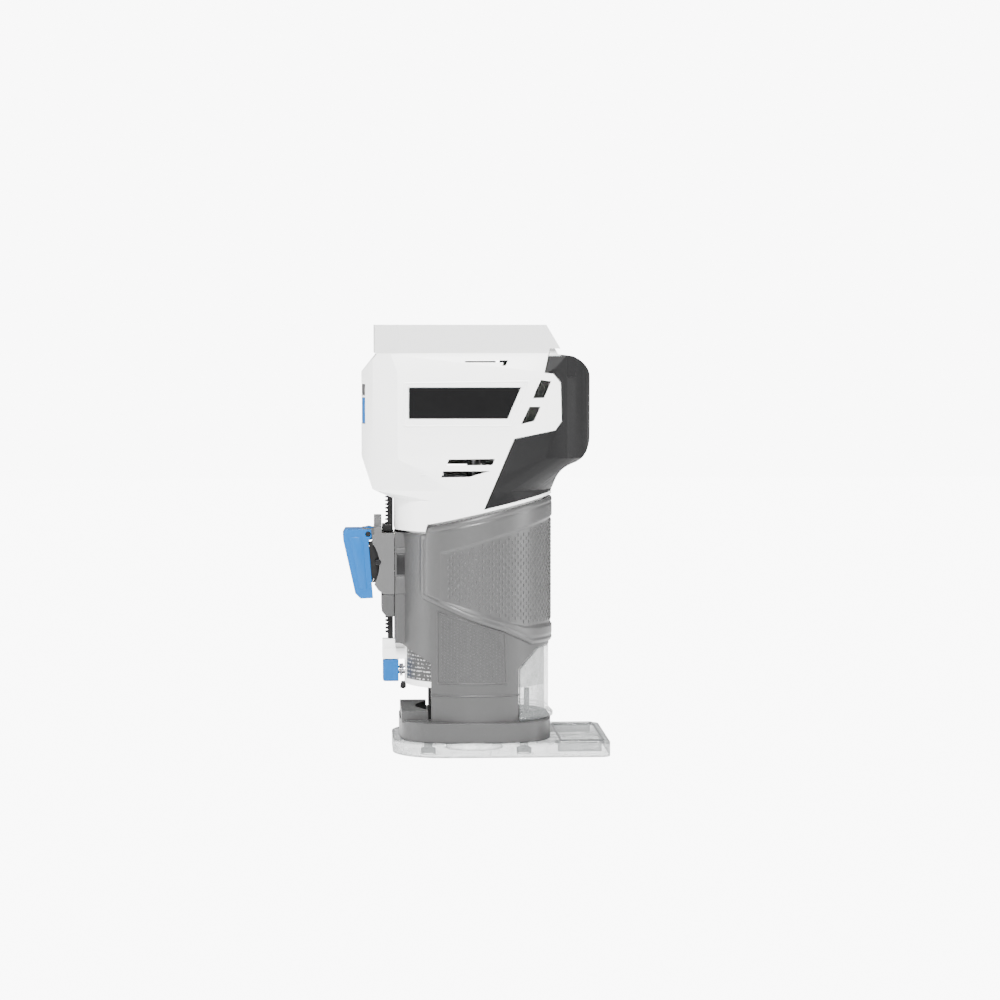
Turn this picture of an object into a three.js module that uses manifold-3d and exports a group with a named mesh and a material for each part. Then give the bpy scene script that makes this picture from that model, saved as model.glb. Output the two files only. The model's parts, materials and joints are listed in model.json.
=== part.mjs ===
// Cordless trim router: a motor unit that slides up and down in a clamping base, with a rack and
// thumbwheel for fine depth, a cam lever that locks it, and a clear sub-base with a side extension.
// Millimetres, +Z up. The spindle is the Z axis, the sub-base's underside is Z = 0, the controls
// face -X and the long end of the sub-base points to +X.

import * as THREE from "three";
import { ConvexGeometry } from "three/addons/geometries/ConvexGeometry.js";
import { mergeVertices } from "three/addons/utils/BufferGeometryUtils.js";
import Module from "manifold-3d";

const wasm = await Module();
wasm.setup();

// ---------------------------------------------------------------- driving dimensions
const GAP = 0.3;                    // between pieces that touch
const ROUND = 48;                   // facets of a large circle
const SMALL_ROUND = 20;             // facets of a small circle

const motorRadius = 39;             // outside of the motor sleeve
const slideClearance = 0.3;         // between motor sleeve and base bore
const baseWall = 2.7;
const gripThickness = 1.3;
const boreRadius = motorRadius + slideClearance;
const sleeveRadius = boreRadius + baseWall;
const gripRadius = sleeveRadius + GAP + gripThickness;

const subBaseThickness = 7.9;
const footHeight = 10.5;            // the casting's foot, above the sub-base
const footHalfLength = sleeveRadius + 0.2;
const footHalfWidth = gripRadius + 0.3;
const footThroatRadius = boreRadius - 6.3;
const footSquareness = 3.6;         // exponent of the foot's rounded-square outline
const footBossRise = 5;
const footBossHalf = 28;
const footBottom = subBaseThickness + GAP;
const footTop = footBottom + footHeight;

const subBaseFront = footHalfLength + 3.8;      // spindle to the rounded front edge
const subBaseExtension = 31.2;                  // from the foot to the end of the extension
const subBaseRear = footHalfLength + subBaseExtension;
const subBaseHalfWidth = footHalfWidth + 1.1;
const subBaseFrontCorner = subBaseHalfWidth - 15;
const subBaseRearCorner = 6;
const bitOpeningRadius = 16;
const edgeSlotInset = 5;            // slots in the extension, in from its long edges
const edgeSlotHalfWidth = 2.6;
const edgeSlotLength = 24;
const edgeSlotFloor = 3;

const screwRadius = 2;
const screwHeadRadius = 3.8;
const screwHeadTop = 3.2;           // the heads sit up inside the plate
const screwHeadBottom = 0.9;
const screwCircle = (boreRadius - 1.8) / Math.SQRT2;
const screwPlaces = [[-1, -1], [1, -1], [1, 1], [-1, 1]].map(
  ([sx, sy]) => [sx * screwCircle, sy * screwCircle],
);

const windowTop = 60;               // top of the front and rear windows
const windowShoulder = 9;           // height of the slanting part of a window
const frontPostEdge = 25;           // front edge of the side posts, before the spindle
const rearPostEdge = 23;            // rear edge of the side posts
const splitHalfWidth = 6.6;         // slot down the front of the sleeve
const baseRimFront = 122;           // height of the base's rim at the front
const baseRimLow = baseRimFront + 4;            // its slanting rim, low end and high end
const baseRimHigh = baseRimLow + 15;
const rimLowX = -27;
const rimHighX = 40;
const rimSlope = (baseRimHigh - baseRimLow) / (rimHighX - rimLowX);
const gripFront = 10.3 - sleeveRadius;          // front edge of the soft grip

const rackPitch = 2.1;
const rackDepth = 1.4;              // height of a tooth
const rackThickness = 4.4;
const rackHalfWidth = 3.2;
const rackStandOff = 3.4;           // room between the base sleeve and the rack
const rackBack = sleeveRadius + rackStandOff;
const rackFront = rackBack + rackThickness;     // tooth tips, before the spindle
const pinionTeeth = 14;
const pinionPitchRadius = pinionTeeth * rackPitch / (2 * Math.PI);
const wheelX = -(rackFront - rackDepth / 2 + pinionPitchRadius);
const wheelRadius = 12.2;
const wheelBelowShoe = 0.7;         // clearance between the wheel and the clamp shoe
const shoeRise = 0.3;               // top of the clamp shoe above the lever's axis
const shoeHeight = 2.9;
const leverPivotZ = baseRimFront - 1.1;
const wheelHeight = leverPivotZ + shoeRise - shoeHeight - wheelBelowShoe - wheelRadius;
const wheelInner = rackHalfWidth + 0.8;         // its faces, beside the rack
const wheelOuter = wheelInner + 5.1;
const wheelBore = 1.6;

const plateThickness = 2.8;         // bracket's side plates
const cheekInner = wheelOuter + 2.7;
const cheekOuter = cheekInner + plateThickness;
const bracketBack = sleeveRadius + 2.9;
const bracketFront = bracketBack + 12.1;
const bracketTop = baseRimFront - 0.4;
const bracketBottom = wheelHeight - wheelRadius - 5.7;
const crossbarBack = rackFront + 2;
const steadyDepth = 12;             // height of the blocks below the bracket

const leverPivotX = -(bracketFront + 2.4);
const leverFront = wheelRadius + 7.42 - wheelX;  // outermost point of the lever
const leverReach = 8.3;             // how far its free end hangs below the wheel
const leverLength = leverPivotZ - wheelHeight + wheelRadius + leverReach;
const leverLean = 5.6;              // how far the free end sits behind the top
const leverWidth = 2 * (cheekInner - 0.4);
const leverWall = 2;
const pinRadius = 1.4;
const camRadius = 3.8;
const camThrow = 0.5;
const camHalfWidth = 5.6;

const unitBottom = 37;              // lower end of the motor sleeve
const sleeveWall = 2.4;
const neckRadius = gripRadius - 0.2;            // housing's neck, above the base
const neckGap = 1.6;                // between the base rim and the housing
const noseBottom = baseRimFront + 24;           // the nose that the block narrows to
const blockBottom = noseBottom + 18;
const housingHalfWidth = neckRadius - 1;
const housingFront = neckRadius + 19.3;
const housingRear = neckRadius + 20.4;
const housingTop = 237;
const bandBottom = housingTop - 16.4;           // lower edge of the battery band
const shoulderBottom = bandBottom - 9.6;
const bandHalfWidth = housingHalfWidth - 4.4;
const bandFront = housingFront - 7;
const facetStart = 12;              // flat middle of the housing's front
const facetEnd = 26;                // the shallow facets beside it, and how far they fall back
const facetFall = 6;
const wall = 2.6;
const rubber = 2.2;                 // thickness of the rubber skin
const rubberStripe = 1.7;           // white edge of the housing below the rubber
const dockFloor = bandBottom + 0.4; // floor that the battery slides over
const dockWall = 4.4;
const rackTop = noseBottom + 1;
const sleeveTop = noseBottom + 4;

const badgeTop = shoulderBottom - 8.3;
const badgeBottom = badgeTop - 16.7;
const badgeDepth = 0.9;
const buttonInset = 0.2;            // below the housing's front
const buttonHalf = 16;
const onButton = { low: shoulderBottom - 28.3, high: shoulderBottom - 14.3 };
const offButton = { low: shoulderBottom - 12.8, high: shoulderBottom - 7 };

const lockHeight = unitBottom + 7;
const lockPinRadius = 2.2;
const lockBottom = unitBottom + 1;
const lockTop = unitBottom + 13.2;
const lockHalf = 5.6;
const lockBack = motorRadius + 3.4;
const lockFront = motorRadius + 12.2;
const footBlockBottom = lockTop + 0.4;
const footBlockTop = footBlockBottom + 6;
const footBlockHalf = 6;
const rackBottom = footBlockTop + 5.4;

const motorInner = motorRadius - sleeveWall;
const magnetWall = 3;
const armatureRadius = motorInner - 12.6;
const fanRadius = motorInner - 6.6;
const shaftRadius = 4;
const colletNutRadius = 10;
const colletNutBottom = 24;
const colletNutHeight = 13.6;
const lowerPlateBottom = unitBottom + 16;
const fanBottom = unitBottom + 28;
const magnetBottom = unitBottom + 37;
const coreBottom = unitBottom + 45;
const coreTop = coreBottom + 38;
const commutatorBottom = coreTop + 12;
const upperPlateBottom = noseBottom;
const shaftTop = upperPlateBottom + 18;

// ---------------------------------------------------------------- solids
function solid(geometry) {
  const bare = geometry.index ? geometry.toNonIndexed() : geometry.clone();
  bare.deleteAttribute("normal");
  bare.deleteAttribute("uv");
  const merged = mergeVertices(bare, 1e-4);
  return new wasm.Manifold(new wasm.Mesh({
    numProp: 3,
    vertProperties: new Float32Array(merged.attributes.position.array),
    triVerts: new Uint32Array(merged.index.array),
  }));
}

function geometryOf(body) {
  const mesh = body.getMesh();
  const geometry = new THREE.BufferGeometry();
  geometry.setAttribute("position", new THREE.BufferAttribute(mesh.vertProperties, 3));
  geometry.setIndex(new THREE.BufferAttribute(mesh.triVerts, 1));
  geometry.computeVertexNormals();
  return geometry;
}

function box(x0, x1, y0, y1, z0, z1) {
  const block = new THREE.BoxGeometry(x1 - x0, y1 - y0, z1 - z0);
  return solid(block.translate((x0 + x1) / 2, (y0 + y1) / 2, (z0 + z1) / 2));
}

function outline(points) {
  return new THREE.Shape(points.map(([a, b]) => new THREE.Vector2(a, b)));
}

// A plan outline (x, y) raised from z0 to z1.
function raised(shape, z0, z1, curveSegments = 12) {
  const options = { depth: z1 - z0, bevelEnabled: false, curveSegments };
  return solid(new THREE.ExtrudeGeometry(shape, options).translate(0, 0, z0));
}

// A side outline (x, z) run across from y0 to y1.
function across(shape, y0, y1, curveSegments = 12) {
  const options = { depth: y1 - y0, bevelEnabled: false, curveSegments };
  const geometry = new THREE.ExtrudeGeometry(shape, options);
  return solid(geometry.rotateX(Math.PI / 2).translate(0, y1, 0));
}

// The convex block between a plan outline at z0 and another at z1.
function blend(lower, z0, upper, z1, divisions = 8) {
  const at = (shape, z) => shape.getPoints(divisions).map((p) => new THREE.Vector3(p.x, p.y, z));
  return solid(new ConvexGeometry([...at(lower, z0), ...at(upper, z1)]));
}

// A front outline (y, z) run along from x0 to x1.
function along(shape, x0, x1) {
  const geometry = new THREE.ExtrudeGeometry(shape, { depth: x1 - x0, bevelEnabled: false });
  return solid(geometry.rotateX(Math.PI / 2).rotateZ(Math.PI / 2).translate(x0, 0, 0));
}

// A round bar on the spindle's axis, or standing at (x, y).
function bar(radius, z0, z1, facets = ROUND, x = 0, y = 0) {
  const cylinder = new THREE.CylinderGeometry(radius, radius, z1 - z0, facets);
  return solid(cylinder.rotateX(Math.PI / 2).translate(x, y, (z0 + z1) / 2));
}

// A round pin lying across, along Y, through (x, z).
function crossBar(radius, y0, y1, x, z, facets = SMALL_ROUND) {
  const cylinder = new THREE.CylinderGeometry(radius, radius, y1 - y0, facets);
  return solid(cylinder.translate(x, (y0 + y1) / 2, z));
}

// A round pin lying along X through (y, z).
function frontBar(radius, x0, x1, y, z, facets = SMALL_ROUND) {
  const cylinder = new THREE.CylinderGeometry(radius, radius, x1 - x0, facets);
  return solid(cylinder.rotateZ(Math.PI / 2).translate((x0 + x1) / 2, y, z));
}

function tube(outer, inner, z0, z1, facets = ROUND) {
  return bar(outer, z0, z1, facets).subtract(bar(inner, z0 - 1, z1 + 1, facets));
}

// A ring turned about the spindle's axis from a closed (radius, z) outline.
function turned(points, facets = ROUND) {
  const profile = points.map(([r, z]) => new THREE.Vector2(r, z));
  profile.push(profile[0].clone());
  return solid(new THREE.LatheGeometry(profile, facets).rotateX(Math.PI / 2));
}

function bothSides(body) {
  return body.add(body.mirror([0, 1, 0]));
}

// ---------------------------------------------------------------- materials and the parts list
const finishes = {
  whiteShell: { color: 0xececec, roughness: 0.45, metalness: 0 },
  rubber: { color: 0x2c2c2d, roughness: 0.8, metalness: 0 },
  greyCasting: { color: 0x7d7d7d, roughness: 0.55, metalness: 0.1 },
  lightGrey: { color: 0xa6a6a6, roughness: 0.5, metalness: 0 },
  blue: { color: 0x1482d6, roughness: 0.4, metalness: 0 },
  black: { color: 0x171717, roughness: 0.5, metalness: 0 },
  clear: { color: 0xf2f6f6, roughness: 0.08, metalness: 0, transparent: true, opacity: 0.35 },
  steel: { color: 0x9a9c9e, roughness: 0.3, metalness: 0.9 },
  copper: { color: 0xb5703c, roughness: 0.35, metalness: 0.9 },
  board: { color: 0x1f5a3a, roughness: 0.6, metalness: 0 },
};

const router = new THREE.Group();
router.name = "trim_router";

function part(name, finish, body) {
  const mesh = new THREE.Mesh(geometryOf(body), new THREE.MeshStandardMaterial(finishes[finish]));
  mesh.name = name;
  router.add(mesh);
  return mesh;
}

// ---------------------------------------------------------------- base
// The sub-base: round-cornered at the front, square at the rear, with an edge slot in the extension.
function subBase() {
  const r = subBaseFrontCorner;
  const c = subBaseRearCorner;
  const w = subBaseHalfWidth;
  const plan = new THREE.Shape();
  plan.moveTo(-subBaseFront + r, -w);
  plan.lineTo(subBaseRear - c, -w);
  plan.absarc(subBaseRear - c, -w + c, c, -Math.PI / 2, 0);
  plan.lineTo(subBaseRear, w - c);
  plan.absarc(subBaseRear - c, w - c, c, 0, Math.PI / 2);
  plan.lineTo(-subBaseFront + r, w);
  plan.absarc(-subBaseFront + r, w - r, r, Math.PI / 2, Math.PI);
  plan.lineTo(-subBaseFront, -w + r);
  plan.absarc(-subBaseFront + r, -w + r, r, Math.PI, 1.5 * Math.PI);
  let plate = raised(plan, 0, subBaseThickness, 6);
  plate = plate.subtract(bar(bitOpeningRadius, -1, subBaseThickness + 1, 32));
  for (const [x, y] of screwPlaces) {
    plate = plate.subtract(bar(screwRadius + GAP, -1, subBaseThickness + 1, SMALL_ROUND, x, y));
    plate = plate.subtract(bar(screwHeadRadius + GAP, -1, screwHeadTop + GAP, SMALL_ROUND, x, y));
  }
  for (const side of [-1, 1]) {
    const y = side * (w - edgeSlotInset);
    plate = plate.subtract(box(subBaseRear - 5 - edgeSlotLength, subBaseRear - 5,
      y - edgeSlotHalfWidth, y + edgeSlotHalfWidth, edgeSlotFloor, subBaseThickness + 1));
  }
  return plate;
}

function subBaseScrew(x, y) {
  const head = bar(screwHeadRadius, screwHeadBottom, screwHeadTop, SMALL_ROUND, x, y);
  return head.add(bar(screwRadius, screwHeadTop - 0.5, footTop - 3, SMALL_ROUND, x, y));
}

// The rounded-square outline of the foot, a superellipse.
function footPlan(inset) {
  const points = [];
  const steps = 56;
  for (let i = 0; i < steps; i += 1) {
    const angle = (2 * Math.PI * i) / steps;
    const c = Math.cos(angle);
    const s = Math.sin(angle);
    const power = 2 / footSquareness;
    points.push([
      (footHalfLength - inset) * Math.sign(c) * Math.abs(c) ** power,
      (footHalfWidth - inset) * Math.sign(s) * Math.abs(s) ** power,
    ]);
  }
  return outline(points);
}

// The slanting rim that the base and its grip share: height of the rim at x.
function rimAt(x) {
  return baseRimLow + (x - rimLowX) * rimSlope;
}

// Everything above the rim, as a cutter; lift moves it up.
function aboveRim(lift) {
  return across(outline([
    [-80, baseRimFront + lift], [rimLowX - 1, baseRimFront + lift],
    [rimLowX, rimAt(rimLowX) + lift], [80, rimAt(80) + lift], [80, 320], [-80, 320],
  ]), -80, 80);
}

// The grip's lower edge falls in two slanting runs from its front to the rear window.
const gripPlan = () => outline([
  [gripFront, 300], [gripFront, windowTop + 32.3], [gripFront + 1.6, windowTop + 26.8],
  [-4.4, windowTop + 15.9], [14.7, windowTop + 9.3], [31, windowTop + 1.2], [80, windowTop + 1.2],
  [80, 300],
]);

function baseCasting() {
  let casting = tube(sleeveRadius, boreRadius, footTop - 2, 170);
  const earHalfWidth = cheekOuter + 0.4;
  const ear = box(-bracketBack + GAP, -sleeveRadius + 8, -earHalfWidth, earHalfWidth, windowTop,
    170);
  casting = casting.add(ear.subtract(bar(boreRadius, 0, 200)));
  const frontWindow = outline([
    [-80, windowTop + 0.5], [-sleeveRadius, windowTop + 0.5],
    [-frontPostEdge, windowTop - windowShoulder],
    [-frontPostEdge, footTop], [-80, footTop],
  ]);
  const rearWindow = outline([
    [rearPostEdge, footTop], [rearPostEdge, windowTop - 12], [rearPostEdge + 11, windowTop - 0.8],
    [80, windowTop - 0.8], [80, footTop],
  ]);
  casting = casting.subtract(across(frontWindow, -80, 80));
  casting = casting.subtract(across(rearWindow, -80, 80));
  casting = casting.subtract(aboveRim(0));
  casting = casting.subtract(box(-80, -30, -splitHalfWidth, splitHalfWidth, footTop, 170));
  casting = casting.subtract(crossBar(wheelRadius + 0.8, -wheelOuter - 0.6, -wheelInner + 0.6,
    wheelX, wheelHeight, 32));
  let foot = raised(footPlan(0), footBottom, footTop);
  const boss = box(-footHalfLength + 1, -frontPostEdge - 1.5, -footBossHalf, footBossHalf,
    footTop - 1, footTop + footBossRise);
  foot = foot.add(boss);
  foot = foot.subtract(bar(footThroatRadius, 0, 60));
  for (const [x, y] of screwPlaces) {
    foot = foot.subtract(bar(screwRadius + GAP, 0, footTop - 2.5, SMALL_ROUND, x, y));
  }
  return casting.add(foot);
}

// The soft grip: a C-shaped skin round the sides and the back of the sleeve.
function baseGrip() {
  let grip = tube(gripRadius, sleeveRadius + GAP, 40, 170);
  grip = grip.intersect(across(gripPlan(), -80, 80));
  return grip.subtract(aboveRim(0));
}

// The clear shield that closes the rear window, with a flared foot.
function chipShield() {
  const inner = boreRadius + 0.2;
  const outer = inner + 2.2;
  const foot = footTop + GAP;
  const top = windowTop - 0.8 - GAP;
  let shield = turned([
    [inner, foot], [outer + 2.6, foot], [outer + 2.6, foot + 1.6], [outer, foot + 4.2],
    [outer, top], [inner, top],
  ]);
  const opening = outline([
    [rearPostEdge + GAP, foot], [rearPostEdge + GAP, windowTop - 12.2],
    [rearPostEdge + 11.2, top], [80, top], [80, foot],
  ]);
  shield = shield.intersect(across(opening, -80, 80));
  return shield;
}

// The grey post that the shield clips to, near side.
function shieldCatch() {
  const x = 0.722 * boreRadius;
  const y = -0.482 * boreRadius;
  const post = box(x - 1.5, x + 1.5, y - 1.5, y + 1.5, footTop + GAP, footTop + 17);
  return post.add(box(x - 3.5, x + 3.5, y - 2.5, y + 2.5, footTop + GAP, footTop + 4));
}

// ---------------------------------------------------------------- depth adjuster
function cheekOutline() {
  const shape = new THREE.Shape();
  shape.moveTo(-bracketBack, bracketBottom);
  shape.lineTo(-bracketBack, bracketTop);
  shape.lineTo(-bracketFront + 4.4, bracketTop);
  shape.lineTo(-bracketFront, bracketTop - 1.2);
  shape.lineTo(-bracketFront, wheelHeight + 10.8);
  shape.quadraticCurveTo(-bracketFront + 7.4, wheelHeight, -bracketFront + 1, wheelHeight - 12.4);
  shape.lineTo(-bracketFront + 3.4, bracketBottom + 2.1);
  shape.lineTo(-bracketFront + 6.4, bracketBottom);
  return shape;
}

function adjusterBracket() {
  const top = bracketTop;
  const cheek = across(cheekOutline(), cheekInner, cheekOuter, 8);
  const backPlate = box(-bracketBack - 1.6, -bracketBack, wheelOuter + 0.6, cheekOuter,
    bracketBottom, top);
  let bracket = bothSides(cheek.add(backPlate));
  bracket = bracket.add(box(-bracketFront + 1, -crossbarBack, -cheekOuter, cheekOuter, top,
    top + 3.2));
  const lobe = outline([[-8.6, top + 3], [-8.6, top + 7.4], [-6.4, top + 9.4], [6.4, top + 9.4],
    [8.6, top + 7.4], [8.6, top + 3]]);
  bracket = bracket.add(along(lobe, -bracketFront + 1, -crossbarBack));
  const joiner = box(-bracketFront + 1, -crossbarBack, cheekInner, cheekOuter, top - 2, top + 1);
  const ear = box(leverPivotX - 3, -crossbarBack, camHalfWidth + 0.4, camHalfWidth + 3.4,
    leverPivotZ - 2.7, leverPivotZ + 3.1);
  bracket = bracket.add(bothSides(joiner.add(ear)));
  const shaftHole = crossBar(wheelBore + 0.05, -20, 20, wheelX, wheelHeight);
  const pinHole = crossBar(pinRadius + 0.05, -20, 20, leverPivotX, leverPivotZ);
  const camRoom = crossBar(camRadius + camThrow + GAP, -camHalfWidth - 0.4,
    camHalfWidth + 0.4, leverPivotX, leverPivotZ, 24);
  return bracket.subtract(shaftHole).subtract(pinHole).subtract(camRoom);
}

// The block below the bracket that steadies the rack, one cheek each side of it.
function steadyBlock(side) {
  const top = bracketBottom - GAP;
  const low = top - steadyDepth;
  const form = outline([
    [-bracketBack - 7, top], [-bracketBack - 7, low + 2.8], [-bracketBack - 4.6, low],
    [-bracketBack, low], [-bracketBack, top],
  ]);
  const block = across(form, rackHalfWidth + 3.8, cheekOuter);
  return side < 0 ? block.mirror([0, 1, 0]) : block;
}

// The black bush that guides the rack, open to the rear.
function rackBush() {
  const y = rackHalfWidth + 3.2;
  const block = box(-crossbarBack + GAP, -rackBack - 0.6, -y, y, baseRimFront - 0.1,
    baseRimFront + 4);
  return block.subtract(box(-rackFront - GAP, 0, -rackHalfWidth - GAP, rackHalfWidth + GAP,
    baseRimFront - 10, baseRimFront + 20));
}

// The thumbwheel: a ribbed wheel, a hub and the pinion that meshes with the rack.
function thumbwheel() {
  const rim = new THREE.Shape();
  const notches = 36;
  for (let i = 0; i < notches * 2; i += 1) {
    const r = i % 2 ? wheelRadius : wheelRadius - 0.5;
    const a = (Math.PI * i) / notches;
    if (i === 0) rim.moveTo(r * Math.cos(a), r * Math.sin(a));
    else rim.lineTo(r * Math.cos(a), r * Math.sin(a));
  }
  const gear = new THREE.Shape();
  const outer = pinionPitchRadius + 0.55;
  const root = pinionPitchRadius - 0.85;
  const turn = (2 * Math.PI) / pinionTeeth;
  // A tooth gap faces the rack's tooth at rest.
  for (let i = 0; i < pinionTeeth; i += 1) {
    const a = (i + 0.5) * turn;
    const corners = [[root, -0.24], [outer, -0.1], [outer, 0.1], [root, 0.24]];
    for (const [r, share] of corners) {
      const x = r * Math.cos(a + share * turn);
      const z = r * Math.sin(a + share * turn);
      if (i === 0 && share === -0.24) gear.moveTo(x, z);
      else gear.lineTo(x, z);
    }
  }
  let wheel = across(rim, -wheelOuter, -wheelInner);
  wheel = wheel.add(across(gear, -wheelInner - 0.1, rackHalfWidth + 0.4));
  wheel = wheel.translate([wheelX, 0, wheelHeight]);
  return wheel.subtract(crossBar(wheelBore + 0.1, -30, 30, wheelX, wheelHeight, 24));
}

// The rack: teeth to the front, one of them level with the wheel's axis.
function rack() {
  const points = [[-rackBack, rackTop], [-rackBack, rackBottom]];
  points.push([-rackFront + rackDepth, rackBottom]);
  const first = Math.ceil((rackBottom + 2 - wheelHeight) / rackPitch);
  const last = Math.floor((rackTop - 4 - wheelHeight) / rackPitch);
  for (let i = first; i <= last; i += 1) {
    const z = wheelHeight + i * rackPitch;
    points.push([-rackFront + rackDepth, z - 0.27 * rackPitch]);
    points.push([-rackFront, z - 0.1 * rackPitch]);
    points.push([-rackFront, z + 0.1 * rackPitch]);
    points.push([-rackFront + rackDepth, z + 0.27 * rackPitch]);
  }
  points.push([-rackFront + rackDepth, rackTop]);
  return across(outline(points), -rackHalfWidth, rackHalfWidth);
}

// The lever: a hollow paddle with a cam hub, hung on a pin at its top.
function leverOutline() {
  const top = leverPivotZ + 2.6;
  const bottom = leverPivotZ - leverLength;
  const back = leverPivotX + 2.8;
  return outline([
    [-leverFront + 1.4, top], [-leverFront, top - 2.4], [-leverFront + 0.2, top - 6],
    [-leverFront + leverLean + 1.2, bottom + 3], [-leverFront + leverLean + 4.2, bottom],
    [back, bottom + 0.3], [back - 2.6, top - 7], [back - 0.8, top - 4], [back - 1.2, top],
  ]);
}

function clampLever() {
  const half = leverWidth / 2;
  let lever = across(leverOutline(), -half, half);
  const hollow = outline([
    [-leverFront + 3, 200], [-leverFront + 2.6, leverPivotZ - 2],
    [-leverFront + leverLean + 3.6, leverPivotZ - leverLength + 4],
    [leverPivotX + 19.4, leverPivotZ - leverLength + 3.7], [leverPivotX + 19.4, 200],
  ]);
  lever = lever.subtract(across(hollow, -half + leverWall, half - leverWall));
  const web = box(-leverFront + 2.4, leverPivotX, -camHalfWidth, camHalfWidth,
    leverPivotZ - 2.4, leverPivotZ + 2.4);
  lever = lever.add(web);
  lever = lever.add(crossBar(camRadius, -camHalfWidth, camHalfWidth, leverPivotX + camThrow,
    leverPivotZ, 24));
  return lever.subtract(crossBar(pinRadius + 0.12, -30, 30, leverPivotX, leverPivotZ, 24));
}

// The shoe that the cam pushes against the motor sleeve: a yoke round the rack.
function clampShoe() {
  const front = leverPivotX + camRadius + camThrow + GAP;
  const z1 = leverPivotZ + shoeRise;
  const z0 = z1 - shoeHeight;
  const half = camHalfWidth;
  const yoke = box(front, -rackFront - 0.5, -half, half, z0, z1);
  const leg = box(-rackFront - 1, -20, half - 1.7, half, z0, z1);
  return yoke.add(bothSides(leg)).subtract(bar(motorRadius + GAP, z0 - 1, z1 + 1));
}

// ---------------------------------------------------------------- motor unit
// The housing's outer form, drawn in by d on every side: a chamfered, round-backed block over a
// round neck, trimmed by its side outline and its front outline, with the battery band on top.
function rearCurve(plan, rear, half, d) {
  const start = housingRear - 33.8;
  const pull = housingRear - 13.8;
  plan.lineTo(start, -half);
  plan.bezierCurveTo(pull, -half, rear, -half * 0.66, rear, -14 + d * 0.5);
  plan.lineTo(rear, 14 - d * 0.5);
  plan.bezierCurveTo(rear, half * 0.66, pull, half, start, half);
}

function housingPlan(d) {
  const half = neckRadius - d;
  const front = -housingFront + d;
  const plan = new THREE.Shape();
  plan.moveTo(front, -facetStart + d * 0.2);
  plan.lineTo(front + facetFall, -facetEnd + d * 0.5);
  plan.lineTo(front + 20, -half);
  rearCurve(plan, housingRear - d, half, d);
  plan.lineTo(front + 20, half);
  plan.lineTo(front + facetFall, facetEnd - d * 0.5);
  plan.lineTo(front, facetStart - d * 0.2);
  return plan;
}

function bandPlan(d) {
  const half = bandHalfWidth - d;
  const front = -bandFront + d;
  return outline([
    [front, -25 + d * 0.4], [front + 13, -half], [housingRear - 9.8 - d, -half],
    [housingRear - 9.8 - d, half],
    [front + 13, half], [front, 25 - d * 0.4],
  ]);
}

function sideOutline(d) {
  const shape = new THREE.Shape();
  const rear = housingRear - d;
  const back = neckRadius - 0.5 - d;
  shape.moveTo(-80, shoulderBottom - d * 0.4);
  shape.lineTo(-housingFront + d, shoulderBottom - d * 0.4);
  shape.lineTo(-bandFront + 1 + d, bandBottom);
  shape.lineTo(-bandFront + d, bandBottom + 1);
  shape.lineTo(-bandFront + d, housingTop);
  shape.lineTo(rear - 25.8, housingTop);
  shape.lineTo(rear - 16.4, bandBottom + 0.6 - d * 0.3);
  shape.bezierCurveTo(rear - 7.8 + d, bandBottom - 0.6 - d, rear - 1, bandBottom - 6 - d * 0.6,
    rear, shoulderBottom - 3 - d * 0.5);
  shape.lineTo(rear, blockBottom + 16);
  shape.bezierCurveTo(rear, blockBottom + 6, rear - 3, blockBottom - 1 + d,
    rear - 11.8 + d * 0.3, blockBottom - 3.5 + d);
  shape.bezierCurveTo(back + 3.1, blockBottom - 6, back + 0.1, blockBottom - 10, back,
    noseBottom - 1);
  const low = neckGap + d;
  shape.lineTo(back, rimAt(neckRadius - 0.5) + low);
  shape.lineTo(rimLowX, rimAt(rimLowX) + low);
  shape.lineTo(rimLowX - 1.2, baseRimFront + low);
  shape.lineTo(-neckRadius - 1.2 + d, baseRimFront + low);
  shape.lineTo(-neckRadius - 1.8 + d, baseRimFront + 4 + d);
  shape.lineTo(-neckRadius - 1.8 + d, noseBottom - 5.3 + d * 0.5);
  shape.lineTo(-neckRadius - 7.6 + d * 0.7, noseBottom - 2.5 + d * 0.8);
  shape.lineTo(-noseFront + d * 0.8, noseBottom + 0.5 + d * 0.5);
  shape.lineTo(-housingFront + d, blockBottom);
  shape.lineTo(-80, blockBottom);
  return shape;
}

function frontOutline(d) {
  const half = housingHalfWidth - d;
  const neck = neckRadius - d;
  const band = bandHalfWidth - d;
  return outline([
    [-neck, 100], [-neck, blockBottom - 6], [-half, blockBottom + 4],
    [-half, shoulderBottom - d * 0.3], [-band, bandBottom - d * 0.3], [-band, housingTop + 1],
    [band, housingTop + 1], [band, bandBottom - d * 0.3], [half, shoulderBottom - d * 0.3],
    [half, blockBottom + 4], [neck, blockBottom - 6], [neck, 100],
  ].reverse());
}

// The nose that the block narrows to, above the neck: the neck's circle with a blunt front.
const noseFront = housingFront - 5.7;
function nosePlan(d) {
  const radius = neckRadius - d;
  const half = 21 - d * 0.4;
  const plan = new THREE.Shape();
  plan.moveTo(-noseFront + d, half);
  plan.lineTo(-noseFront + d, -half);
  plan.absarc(0, 0, radius, -Math.PI * 0.72, Math.PI * 0.72);
  return plan;
}

function neckPlan(d) {
  const plan = new THREE.Shape();
  plan.absellipse(-0.9, 0, neckRadius + 0.9 - d, neckRadius - d, 0, 2 * Math.PI);
  return plan;
}

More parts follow.
